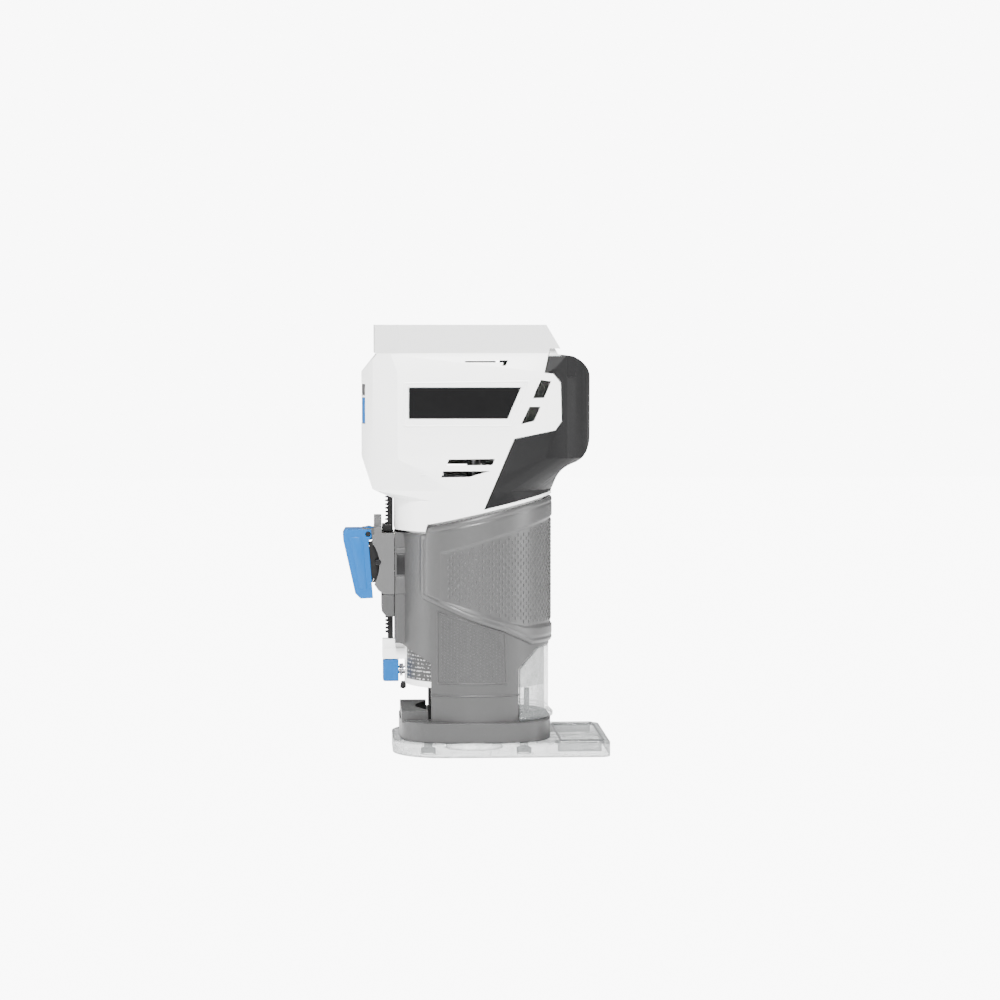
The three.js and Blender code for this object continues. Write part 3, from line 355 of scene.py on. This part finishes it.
# ------------------------------------------------------------------ base grip
# A grey elastomer moulded over the sleeve, C-shaped in plan: a raised border round a sunken panel
# that runs from side to side across the rear, with rows of small upright ribs for the fingers.
def repeater():
    """A node tree that sets one small stud on every point, turned as the point says."""
    tree = bpy.data.node_groups.new("studs_on_points", "GeometryNodeTree")
    side = tree.interface
    side.new_socket("Geometry", in_out="INPUT", socket_type="NodeSocketGeometry")
    side.new_socket("Geometry", in_out="OUTPUT", socket_type="NodeSocketGeometry")
    side.new_socket("Size", in_out="INPUT", socket_type="NodeSocketVector")
    side.new_socket("Round", in_out="INPUT", socket_type="NodeSocketBool")
    side.new_socket("Material", in_out="INPUT", socket_type="NodeSocketMaterial")
    nodes, links = tree.nodes, tree.links
    given = nodes.new("NodeGroupInput")
    result = nodes.new("NodeGroupOutput")
    points = nodes.new("GeometryNodeMeshToPoints")
    turn = nodes.new("GeometryNodeInputNamedAttribute")
    turn.data_type = "FLOAT_VECTOR"
    turn.inputs["Name"].default_value = "turn"
    as_rotation = nodes.new("FunctionNodeEulerToRotation")
    ball = nodes.new("GeometryNodeMeshUVSphere")
    ball.inputs["Segments"].default_value = 8
    ball.inputs["Rings"].default_value = 5
    ball.inputs["Radius"].default_value = 0.5
    block = nodes.new("GeometryNodeMeshCube")
    shape = nodes.new("GeometryNodeSwitch")
    shape.input_type = "GEOMETRY"
    instance = nodes.new("GeometryNodeInstanceOnPoints")
    real = nodes.new("GeometryNodeRealizeInstances")
    coat = nodes.new("GeometryNodeSetMaterial")
    links.new(given.outputs["Geometry"], points.inputs["Mesh"])
    links.new(points.outputs["Points"], instance.inputs["Points"])
    links.new(given.outputs["Round"], shape.inputs["Switch"])
    links.new(block.outputs["Mesh"], shape.inputs["False"])
    links.new(ball.outputs["Mesh"], shape.inputs["True"])
    links.new(shape.outputs[0], instance.inputs["Instance"])
    links.new(turn.outputs["Attribute"], as_rotation.inputs[0])
    links.new(as_rotation.outputs[0], instance.inputs["Rotation"])
    links.new(given.outputs["Size"], instance.inputs["Scale"])
    links.new(instance.outputs["Instances"], real.inputs["Geometry"])
    links.new(real.outputs["Geometry"], coat.inputs["Geometry"])
    links.new(given.outputs["Material"], coat.inputs["Material"])
    links.new(coat.outputs["Geometry"], result.inputs["Geometry"])
    return tree


studs_tree = repeater()


def studs(name, spots, size, material, body, rounded=True):
    """Small repeated pieces: spots are (place, turn) in metres and radians, size is in mm."""
    mesh = bpy.data.meshes.new(name)
    mesh.from_pydata([place for place, _ in spots], [], [])
    turns = mesh.attributes.new("turn", "FLOAT_VECTOR", "POINT")
    turns.data.foreach_set("vector", [value for _, turn in spots for value in turn])
    piece = new_piece(name, mesh)
    grow = piece.modifiers.new("studs", "NODES")
    grow.node_group = studs_tree
    sockets = {item.name: item.identifier for item in studs_tree.interface.items_tree
               if item.in_out == "INPUT"}
    grow[sockets["Size"]] = tuple(value * MM for value in size)
    grow[sockets["Round"]] = rounded
    grow[sockets["Material"]] = material
    bake(piece)
    shade(piece.data, 40)
    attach(piece, body)


def inside(x, z, corners):
    """How far inside a convex outline a point lies, in mm; below 0 is outside."""
    depth = 1e9
    for (x0, z0), (x1, z1) in zip(corners, corners[1:] + corners[:1]):
        length = math.hypot(x1 - x0, z1 - z0)
        depth = min(depth, ((x1 - x0) * (z - z0) - (z1 - z0) * (x - x0)) / length)
    return depth


def ease(value, wide):
    """A smooth step from 0 to 1 over a width."""
    t = max(0.0, min(1.0, value / wide))
    return t * t * (3 - 2 * t)


grip_low, grip_high = (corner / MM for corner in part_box("base_grip"))
grip_radius = -grip_low.y
grip_inner = grip_radius - 1.3
grip_front = grip_low.x
rim_front_z = 122.0
rim_low_x = -27.0
rim_low_z = 126.0
rim_slope = 15 / 67


def rim(x):
    """Height of the grip's upper edge: a low front end, then a straight climb to the rear."""
    return rim_front_z if x < rim_low_x - 1 else rim_low_z + (x - rim_low_x) * rim_slope


def grip_foot(x):
    """Height of the grip's lower edge: two slanting runs with a level end."""
    corners = [(-31.7, 92.3), (-30.1, 86.8), (-4.4, 75.9), (14.7, 69.3), (31, 61.2), (60, 61.2)]
    for (x0, z0), (x1, z1) in zip(corners, corners[1:]):
        if x <= x1:
            return z0 + (z1 - z0) * max(0.0, x - x0) / (x1 - x0)
    return corners[-1][1]


panel = [(-20.2, 84.6), (12, 74.8), (26, 70.2), (60, 69.6), (60, 136), (-20.2, 112.5)]
panel_sink = 0.9


def grip_surface(x, z):
    """Radius of the grip's outside at a point: rounded rim, border groove and sunken panel."""
    rim_drop = 0.7
    groove_depth = 0.4
    groove_from_edge = 3.1
    edge = min(z - grip_foot(x), rim(x) - z, x - grip_front)
    level = grip_radius - rim_drop * (1 - ease(edge, 1.2))
    level -= panel_sink * ease(inside(x, z, panel), 1.1)
    level -= groove_depth * (1 - ease(abs(edge - groove_from_edge), 0.8))
    return level


# Both walls of the skin are one grid each, joined round their shared outline.
columns = 300
rows = 110
front_angle = math.acos(grip_front / grip_radius)
verts, faces = [], []
for wall in (0, 1):
    for j in range(rows + 1):
        for i in range(columns + 1):
            angle = -front_angle + 2 * front_angle * i / columns
            x = grip_radius * math.cos(angle)
            foot, top = grip_foot(x), rim(x) - 0.05
            z = foot + (top - foot) * j / rows
            r = grip_inner if wall else grip_surface(x, z)
            verts.append((r * math.cos(angle) * MM, r * math.sin(angle) * MM, z * MM))
wide = columns + 1
layer = wide * (rows + 1)
for j in range(rows):
    for i in range(columns):
        a = j * wide + i
        faces.append((a, a + 1, a + wide + 1, a + wide))
        faces.append((layer + a, layer + a + wide, layer + a + wide + 1, layer + a + 1))
outline = [i for i in range(columns)]
outline += [j * wide + columns for j in range(rows)]
outline += [rows * wide + i for i in range(columns, 0, -1)]
outline += [j * wide for j in range(rows, 0, -1)]
for first, second in zip(outline, outline[1:] + outline[:1]):
    faces.append((second, first, layer + first, layer + second))
grip_mesh = bpy.data.meshes.new("grip_overmould")
grip_mesh.from_pydata(verts, [], faces)
grip_grey = moulded("grip_elastomer", (0.034, 0.034, 0.034), (0.12, 0.12, 0.12), 0.4, 2200,
                    0.05 * MM, Specular_IOR_Level=0.55)
grip_mesh.materials.append(grip_grey)
shade(grip_mesh, 50)
overmould = new_piece("grip_overmould", grip_mesh)
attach(overmould, "base")
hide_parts("base_grip")

# Every other column of ribs is set half a step up. None comes near the panel's edges.
rib_pitch = 1.95
rib_rise = 2.0
rib_bottom = 62
rib_top = 136
rib_reach = math.radians(150)
rib_radius = grip_radius - panel_sink + 0.05
rib_columns = int(grip_radius * 2 * rib_reach / rib_pitch)
ribs = []
for k in range(rib_columns + 1):
    angle = (k - rib_columns / 2) * rib_pitch / grip_radius
    x = grip_radius * math.cos(angle)
    level = rib_bottom + (rib_rise if k % 2 else 0)
    while level < rib_top:
        if inside(x, level, panel) > 2.6 and rim(x) - level > 5.2 and level - grip_foot(x) > 5:
            ribs.append(((rib_radius * math.cos(angle) * MM, rib_radius * math.sin(angle) * MM,
                          level * MM), (0, 0, angle)))
        level += 2 * rib_rise
studs("grip_ribs", ribs, (0.95, 1.0, 2.6), grip_grey, "base")


# ------------------------------------------------------------------ post panels
# Below the soft grip each side post carries a low cast frame round a stippled field, and a cast
# step runs across it near the foot. All of it belongs to the casting.
def on_round(radius, side):
    """A map from an upright outline (x, z) to the side of a cylinder, near side -1, far side 1."""
    return lambda x, z, rise: Vector((
        x * (radius + rise) / radius,
        side * math.sqrt(radius * radius - x * x) * (radius + rise) / radius,
        z,
    )) * MM


def on_flat(distance, side):
    """A map from an upright outline (x, z) to a flat side wall."""
    return lambda x, z, rise: Vector((x, side * (distance + rise), z)) * MM


def turn_outwards(mesh):
    """Make every face of a closed mesh look outwards."""
    shape = bmesh.new()
    shape.from_mesh(mesh)
    bmesh.ops.recalc_face_normals(shape, faces=shape.faces)
    shape.to_mesh(mesh)
    shape.free()


def ridge(name, corners, place, width, rise, material, node, closed=True):
    """A low rounded ridge along an outline on a surface, part of the node it stands on."""
    step = 1.2
    path = []
    ends = zip(corners, corners[1:] + corners[:1]) if closed else zip(corners, corners[1:])
    for (x0, z0), (x1, z1) in ends:
        steps = max(2, int(math.hypot(x1 - x0, z1 - z0) / step))
        path += [(x0 + (x1 - x0) * k / steps, z0 + (z1 - z0) * k / steps) for k in range(steps)]
    if not closed:
        path.append(corners[-1])
    profile = [(-0.5, -0.3), (-0.3, 0.8), (-0.12, 1.0), (0.12, 1.0), (0.3, 0.8), (0.5, -0.3)]
    verts, faces = [], []
    count, around = len(path), len(profile)
    for k, (x, z) in enumerate(path):
        xa, za = path[k - 1] if closed or k else path[k]
        xb, zb = path[(k + 1) % count] if closed or k < count - 1 else path[k]
        length = math.hypot(xb - xa, zb - za)
        nx, nz = (zb - za) / length, -(xb - xa) / length
        for share, lift in profile:
            verts.append(place(x + nx * share * width, z + nz * share * width, lift * rise))
    for k in range(count if closed else count - 1):
        after = (k + 1) % count
        for i in range(around):
            j = (i + 1) % around
            faces.append((k * around + i, k * around + j, after * around + j, after * around + i))
    if not closed:
        faces.append(tuple(range(around - 1, -1, -1)))
        faces.append(tuple((count - 1) * around + i for i in range(around)))
    mesh = bpy.data.meshes.new(name)
    mesh.from_pydata(verts, [], faces)
    turn_outwards(mesh)
    mesh.materials.append(material)
    shade(mesh, 60)
    piece = new_piece(name, mesh)
    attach(piece, body_of(node))
    slot_of(node)


casting_radius = 42.0
post_panel = [(-21.6, 40.4), (16.2, 40.4), (15.4, 68.2), (-21.6, 79.6)]
post_step = [(-25.2, 33.6), (23.2, 33.6)]
stipple_pitch = 1.75
stipple_shift = 0.87
stipple_bottom = 42
stipple_margin = 1.6
field_spots = []
for side, word in ((-1, "near"), (1, "far")):
    wrap = on_round(casting_radius, side)
    ridge("post_frame_" + word, post_panel, wrap, 1.1, 0.45, casting_grey, "base_casting")
    ridge("post_step_" + word, post_step, wrap, 1.2, 0.4, casting_grey, "base_casting",
          closed=False)
    for k in range(-12, 9):
        for row in range(24):
            x = k * stipple_pitch
            z = stipple_bottom + row * stipple_pitch + (stipple_shift if k % 2 else 0)
            if inside(x, z, post_panel) > stipple_margin:
                spot = wrap(x, z, 0.0)
                field_spots.append((tuple(spot), (0, 0, math.atan2(spot.y, spot.x))))
studs("post_stipple", field_spots, (0.6, 0.85, 0.85), casting_grey, "base")


# ------------------------------------------------------------------ sub-base and chip shield
# Two mouldings of clear hard plastic: a thick plate that shows the work below it, and a curved
# guard that keeps chips out of the rear window. Their cut edges carry painted shade and look a
# little frosted.
def clear_moulding(name, density):
    """Clear plastic that looks thicker at a glancing angle, with painted shade along its edges."""
    clear = Finish(name, IOR=1.49)
    glance = clear.node("ShaderNodeLayerWeight", out=1, Blend=0.4)
    haze = clear.noise(60, 3)
    streak = clear.noise(130, 3, 0.7)
    lip, lip_normal = clear.edges(2.2 * MM)
    # The darker edge colour is painted shade, standing for the refraction that darkens clear edges.
    clear.feed("Base Color", clear.blend(lip, (0.2, 0.21, 0.21), (0.03, 0.032, 0.032)))
    clear.feed("Alpha", (glance * 0.45 + (streak - 0.45) * 0.5 + lip * 0.8 + density).clip())
    clear.feed("Roughness", haze * 0.06 + 0.03)
    clear.bump(clear.noise(300, 2), 0.02 * MM, 0.4, lip_normal)
    return clear.material


clear_plastic = clear_moulding("clear_plastic", 0.2)
plate_plastic = clear_moulding("plate_plastic", 0.5)
rounded_copy("sub_base", plate_plastic, 0.6)
rounded_copy("chip_shield", clear_plastic, 0.3)
plate_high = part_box("sub_base")[1] / MM


def on_plate(x, y, rise):
    """A map from an outline (x, y) to the plate's upper face, sunk a hair into it."""
    return Vector((x, y, plate_high.z + rise - 0.1)) * MM


extension_lip = [(46.6, -33.0), (70.2, -33.0), (70.2, 33.0), (46.6, 33.0)]
ridge("plate_lip", extension_lip, on_plate, 1.4, 0.6, plate_plastic, "sub_base")
for side, word in ((-1, "near"), (1, "far")):
    slot_lip = [(43.2, side * 36.2), (69.6, side * 36.2), (69.6, side * 43.6), (43.2, side * 43.6)]
    ridge("slot_lip_" + word, slot_lip, on_plate, 0.9, 0.5, plate_plastic, "sub_base")

# ------------------------------------------------------------------ sub-base screws
# Four zinc-plated screws, driven up through the plate.
zinc = moulded("zinc_plate", (0.55, 0.54, 0.5), (0.75, 0.74, 0.7), 0.32, 1500, 0.02 * MM,
               Metallic=1.0)
for number in (1, 2, 3, 4):
    rounded_copy("sub_base_screw_%d" % number, zinc, 0.3)

# ------------------------------------------------------------------ depth adjuster housing
# A light grey moulded bracket round the thumbwheel, with two cheeks and a lobe above the lever. The
# two blocks below it that steady the rack, and the post beside the chip shield, match the casting.
bracket_grey = moulded("bracket_grey", (0.06, 0.06, 0.06), (0.17, 0.17, 0.17), 0.42, 2400,
                       0.04 * MM, Specular_IOR_Level=0.4)
rounded_copy("adjuster_bracket", bracket_grey, 0.45)
rounded_copy("rack_steady_near", casting_grey, 0.4)
rounded_copy("rack_steady_far", casting_grey, 0.4)
rounded_copy("chip_shield_catch", casting_grey, 0.3)


def slab(name, corners, y0, y1, material, node, radius=0.25):
    """A flat piece with an upright outline (x, z), run across from y0 to y1."""
    low, high = min(y0, y1), max(y0, y1)
    verts = [(x * MM, y * MM, z * MM) for y in (low, high) for x, z in corners]
    count = len(corners)
    faces = [tuple(range(count)), tuple(range(2 * count - 1, count - 1, -1))]
    faces += [(i, count + i, count + (i + 1) % count, (i + 1) % count) for i in range(count)]
    mesh = bpy.data.meshes.new(name)
    mesh.from_pydata(verts, [], faces)
    turn_outwards(mesh)
    mesh.materials.append(material)
    piece = new_piece(name, mesh)
    soften = piece.modifiers.new("soften", "BEVEL")
    soften.width = radius * MM
    soften.segments = 2
    bake(piece)
    shade(piece.data, 40)
    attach(piece, body_of(node))


# Two cast ribs stand out on each side of the casting's ear.
ear_face = 15.0
rib_root = 0.6
upper_rib = [(-44.2, 110.5), (-35.4, 110.5), (-35.4, 113.3), (-44.2, 113.3)]
lower_rib = [(-44.2, 88.0), (-37.4, 88.0), (-36.0, 97.6), (-44.2, 97.6)]
for side, word in ((-1, "near"), (1, "far")):
    slab("ear_rib_upper_" + word, upper_rib, side * (ear_face - rib_root),
         side * (ear_face + 0.9), casting_grey, "base_casting")
    slab("ear_rib_lower_" + word, lower_rib, side * (ear_face - rib_root),
         side * (ear_face + 0.7), casting_grey, "base_casting")

# ------------------------------------------------------------------ rack bush and depth rack
# Black plastic: a bush that guides the rack at the top of the bracket, and the moulded rack. A thin
# black inlay on each side of the ear is painted shadow, standing for the shade in a dark pocket
# there.
black_nylon = moulded("black_nylon", (0.003, 0.003, 0.0032), (0.012, 0.012, 0.012), 0.4, 2400,
                      0.03 * MM, Specular_IOR_Level=0.2)
ear_painted_shadow = [(-43.6, 98.6), (-36.6, 98.6), (-36.0, 109.6), (-43.6, 109.6)]
# Painted shadow: black slabs that darken the ear's sides where the pocket falls in shade.
for side, word in ((-1, "near"), (1, "far")):
    slab("ear_painted_shadow_" + word, ear_painted_shadow, side * (ear_face - 0.4), side * (ear_face + 0.12),
         black_nylon, "base_casting", 0.05)
rounded_copy("rack_bush", black_nylon, 0.3)
rounded_copy("depth_rack", black_nylon, 0.12, 1)

# ------------------------------------------------------------------ thumbwheel
# A black nylon wheel in one piece with its pinion. Short pale marks stand round its near face, and
# it turns on a plain blackened steel pin.
rounded_copy("depth_thumbwheel", black_nylon, 0.25)
tick_white = moulded("tick_paint", (0.6, 0.6, 0.6), (0.4, 0.4, 0.4), 0.5, 2600, 0.02 * MM)
wheel_low, wheel_high = (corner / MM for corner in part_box("depth_thumbwheel"))
wheel_radius = 12.2
wheel_axis_x = wheel_low.x + wheel_radius
wheel_axis_z = (wheel_low.z + wheel_high.z) / 2
tick_count = 24
tick_ring = 10.6
tick_y = wheel_low.y - 0.03
ticks = []
for k in range(tick_count):
    angle = 2 * math.pi * k / tick_count
    spot = Vector((wheel_axis_x + tick_ring * math.cos(angle), tick_y,
                   wheel_axis_z + tick_ring * math.sin(angle)))
    ticks.append((tuple(spot * MM), (0, -angle, 0)))
studs("wheel_ticks", ticks, (1.7, 0.12, 0.42), tick_white, "thumbwheel",
      rounded=False)
dark_pin = moulded("blackened_steel", (0.02, 0.02, 0.021), (0.2, 0.2, 0.2), 0.34, 1500,
                   0.02 * MM, Metallic=1.0)
polished = moulded("ground_steel", (0.5, 0.5, 0.51), (0.7, 0.7, 0.7), 0.26, 1500, 0.02 * MM,
                   Metallic=1.0)
rounded_copy("thumbwheel_pin", dark_pin, 0.25)

# ------------------------------------------------------------------ clamp lever
# A bright blue moulded paddle with softly rounded edges and a raised cheek on each side, hung on a
# steel pin. Its cam drives a plated steel shoe through the split sleeve.
control_blue = moulded("control_blue", (0.0, 0.075, 0.25), (0.0, 0.14, 0.4), 0.36, 2600,
                       0.03 * MM, wear=0.4, Specular_IOR_Level=0.15)
rounded_copy("clamp_lever", control_blue, 0.9, 3)
rounded_copy("lever_pin", dark_pin, 0.25)
rounded_copy("clamp_shoe", zinc, 0.25)
lever_low, lever_high = (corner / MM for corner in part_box("clamp_lever"))
for side, word in ((-1, "near"), (1, "far")):
    edge = lever_high.y if side > 0 else lever_low.y
    slab("lever_cheek_" + word, [
        (lever_low.x + 3.6, lever_high.z - 5.4), (lever_low.x + 4.2, lever_high.z - 7.4),
        (lever_low.x + 9.2, lever_low.z + 5.6), (lever_low.x + 13.2, lever_low.z + 4.4),
        (lever_low.x + 11.4, lever_high.z - 9.4), (lever_low.x + 9.4, lever_high.z - 5.4),
    ], edge - side * 0.5, edge + side * 0.28, control_blue, "clamp_lever", 0.25)

# ------------------------------------------------------------------ housing
# Two halves of finely textured white plastic that meet on the tool's middle plane; painted shade
# greys the battery band. Each has a raised frame for its badge and low ridges before its lower
# vents.
shell_white = moulded("shell_white", (0.8, 0.8, 0.79), (0.85, 0.85, 0.85), 0.4, 3200, 0.03 * MM,
                      wear=0.1, spread=0.015)
battery_band = 221.4 * MM
# Painted shade: the housing is drawn greyer above the battery band.
band_painted_shade = (0.5, 0.5, 0.495)
housing_white_painted_band = moulded("housing_white_painted_band", (0.8, 0.8, 0.79), (0.85, 0.85, 0.85), 0.4, 3200,
                        0.03 * MM, wear=0.1, spread=0.015, band=(battery_band, band_painted_shade))
rounded_copy("housing_near", housing_white_painted_band, 0.7)
rounded_copy("housing_far", housing_white_painted_band, 0.7)
badge_frame = [(-39.7, 181.9), (18.2, 181.9), (28.0, 206.2), (-39.7, 205.2)]
side_face = 42.4
for side, word in ((-1, "near"), (1, "far")):
    flat = on_flat(side_face, side)
    node = "housing_" + word
    ridge("badge_frame_" + word, badge_frame, flat, 1.3, 0.55, shell_white, node)
    for k, height in enumerate((162.2, 155.6)):
        ridge("vent_line_%s_%d" % (word, k + 1), [(-31.0, height), (-18.5, height)],
              on_flat(side_face + 0.15, side), 1.0, 0.3, shell_white, node, closed=False)

# ------------------------------------------------------------------ badges
# Blank plates of satin black plastic, set into shallow seats on both sides.
badge_black = moulded("badge_black", (0.0018, 0.0018, 0.0019), (0.02, 0.02, 0.02), 0.34, 2800,
                      0.02 * MM, wear=0.2, Specular_IOR_Level=0.1)
rounded_copy("badge_near", badge_black, 0.2)
rounded_copy("badge_far", badge_black, 0.2)

# ------------------------------------------------------------------ rubber grip
# Black thermoplastic rubber moulded over the rear of both halves as one skin: dull, fine-grained
# and a little dusty.
grip_black = moulded("grip_rubber", (0.0028, 0.0028, 0.003), (0.016, 0.016, 0.016), 0.5, 1800,
                     0.08 * MM, wear=0.4, spread=0.12, Specular_IOR_Level=0.15)
rounded_copy("rubber_grip", grip_black, 0.5)

# ------------------------------------------------------------------ motor sleeve
# The white moulded barrel that slides in the base. A dark paper rating label with plain bars in
# place of text is stuck on its near side, where the front window shows it.
rounded_copy("motor_sleeve", shell_white, 0.3)
line_pitch = 2.1 * MM
label = Finish("rating_label")
label_height = label.node("ShaderNodeSeparateXYZ", Vector=label.place(), out=2)
line = label_height.sum("FRACT", label_height * (1 / line_pitch))
words = label.node("ShaderNodeTexNoise", Vector=label.place(), Scale=700.0, Detail=1.0)
line_mask = ((line - 0.52) * 30).clip() * ((0.92 - line) * 30).clip()
word_mask = ((words - 0.5) * 18).clip()
grain = label.noise(900, 2)
label.feed("Base Color", label.blend(line_mask * word_mask, (0.008, 0.008, 0.008),
                                     (0.3, 0.3, 0.3)))
label.feed("Roughness", grain * 0.15 + 0.4)
label.bump(grain, 0.01 * MM, 0.5)
sleeve_radius = 39
label_left = -37.8
label_length = 13.6
label_bottom = 40.4
label_top = 57.6
label_steps = 16
label_verts = []
label_faces = []
for radius in (sleeve_radius + 0.03, sleeve_radius + 0.14):
    for k in range(label_steps + 1):
        x = label_left + label_length * k / label_steps
        y = -math.sqrt(sleeve_radius ** 2 - x * x)
        for z in (label_bottom, label_top):
            label_verts.append((x * radius / sleeve_radius * MM, y * radius / sleeve_radius * MM,
                                z * MM))
half = 2 * (label_steps + 1)
for k in range(label_steps):
    a = 2 * k
    label_faces.append((half + a, half + a + 2, half + a + 3, half + a + 1))
    label_faces.append((a, a + 1, a + 3, a + 2))
    label_faces.append((a, a + 2, half + a + 2, half + a))
    label_faces.append((a + 1, half + a + 1, half + a + 3, a + 3))
label_faces.append((0, half, half + 1, 1))
label_faces.append((half - 2, half - 1, 2 * half - 1, 2 * half - 2))
label_mesh = bpy.data.meshes.new("rating_label")
label_mesh.from_pydata(label_verts, [], label_faces)
label_mesh.materials.append(label.material)
shade(label_mesh, 40)
label_piece = new_piece("rating_label", label_mesh)
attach(label_piece, body_of("motor_sleeve"))

# A small black piece stands out of the sleeve just under the lock button.
stop_outline = [(-41.6, 34.0), (-39.4, 33.4), (-38.2, 34.4), (-38.2, 37.3), (-40.8, 37.3)]
stop_half_width = 3.2
slab("sleeve_stop", stop_outline, -stop_half_width, stop_half_width, black_nylon, "depth_rack",
     0.3)

# ------------------------------------------------------------------ battery bay
# Black rails that the battery slides along, and the nylon block that holds its copper blades.
for node in ("dock_rail_near", "dock_rail_far", "terminal_block"):
    rounded_copy(node, black_nylon, 0.3)
copper = moulded("tinned_copper", (0.72, 0.4, 0.22), (0.85, 0.6, 0.4), 0.28, 1500, 0.02 * MM,
                 Metallic=1.0)
for number in (1, 2, 3):
    rounded_copy("terminal_blade_%d" % number, copper, 0.15)

# ------------------------------------------------------------------ switch
# A grey off button above a blue on button, in a white guide behind the housing's front wall, with
# the switch and the control board behind them.
button_grey = moulded("button_grey", (0.035, 0.035, 0.036), (0.1, 0.1, 0.1), 0.42, 2600, 0.03 * MM)
rounded_copy("on_button", control_blue, 0.35)
rounded_copy("off_button", button_grey, 0.35)
rounded_copy("switch_bezel", shell_white, 0.2)
rounded_copy("switch_body", black_nylon, 0.5)
board_green = moulded("board_green", (0.02, 0.11, 0.06), (0.1, 0.2, 0.12), 0.4, 900, 0.02 * MM)
rounded_copy("control_board", board_green, 0.15)

# ------------------------------------------------------------------ spindle lock
# A blue press button on the front of the sleeve, its steel pin and a small return spring.
rounded_copy("lock_button", control_blue, 0.5)
rounded_copy("lock_pin", polished, 0.3)
spring_steel = moulded("spring_steel", (0.35, 0.35, 0.37), (0.6, 0.6, 0.6), 0.3, 2000, 0.01 * MM,
                       Metallic=1.0)

# ------------------------------------------------------------------ motor
# A permanent-magnet motor: two ferrite shells, a laminated core with its windings, a copper
# commutator, carbon brushes in nylon holders, steel bearings in grey end plates and a nylon fan.
ferrite = moulded("ferrite", (0.045, 0.042, 0.04), (0.12, 0.12, 0.12), 0.55, 1100, 0.05 * MM)
lamination = Finish("lamination_steel", Metallic=1.0)
sheet_thickness = 0.5 * MM
height = lamination.node("ShaderNodeSeparateXYZ", Vector=lamination.place(), out=2)
stack = height.sum("PINGPONG", height * (1 / sheet_thickness))
lamination.feed("Base Color", lamination.blend(stack, (0.2, 0.2, 0.21), (0.4, 0.4, 0.41)))
lamination.feed("Roughness", lamination.noise(400, 3) * 0.25 + 0.3)
lamination.bump(stack, 0.05 * MM, 0.7)
carbon = moulded("carbon", (0.02, 0.02, 0.02), (0.05, 0.05, 0.05), 0.7, 900, 0.05 * MM)
enamel = moulded("winding_enamel", (0.42, 0.14, 0.05), (0.6, 0.25, 0.1), 0.35, 520, 0.3 * MM,
                 Metallic=0.7)
motor_coats = {
    "magnet_near": ferrite, "magnet_far": ferrite, "armature_core": lamination.material,
    "winding_lower": enamel, "winding_upper": enamel, "commutator": copper,
    "cooling_fan": black_nylon, "brush_front": carbon, "brush_rear": carbon,
    "brush_holder_front": black_nylon, "brush_holder_rear": black_nylon,
    "lower_bearing_plate": casting_grey, "upper_bearing_plate": casting_grey,
    "lower_bearing": polished, "upper_bearing": polished, "spindle_shaft": polished,
}
for node, coat in motor_coats.items():
    rounded_copy(node, coat, 0.2, 1)

# ------------------------------------------------------------------ collet and lamp
# A hexagonal steel nut over a slit spring collet at the spindle's nose, lit by a clear ring.
rounded_copy("collet_nut", zinc, 0.35)
rounded_copy("collet", polished, 0.15, 1)
rounded_copy("lamp_lens", clear_plastic, 0.2)

# ------------------------------------------------------------------ modelled pieces left as packed
# The plain meshes take the finish of the piece that stands for them; the lock spring, which is
# squeezed as its button moves, keeps its own mesh.
plain_finishes = {
    "shell_white": shell_white, "rubber_black": grip_black, "casting_grey": casting_grey,
    "grip_grey": grip_grey, "light_grey": bracket_grey, "control_blue": control_blue,
    "part_black": black_nylon, "clear_plastic": clear_plastic, "steel": polished,
    "copper": copper, "board_green": board_green,
}
for node, thing in frame["nodes"].items():
    coat = spring_steel if node == "lock_spring" else plain_finishes[slot_of(node)]
    thing.data.materials.clear()
    thing.data.materials.append(coat)
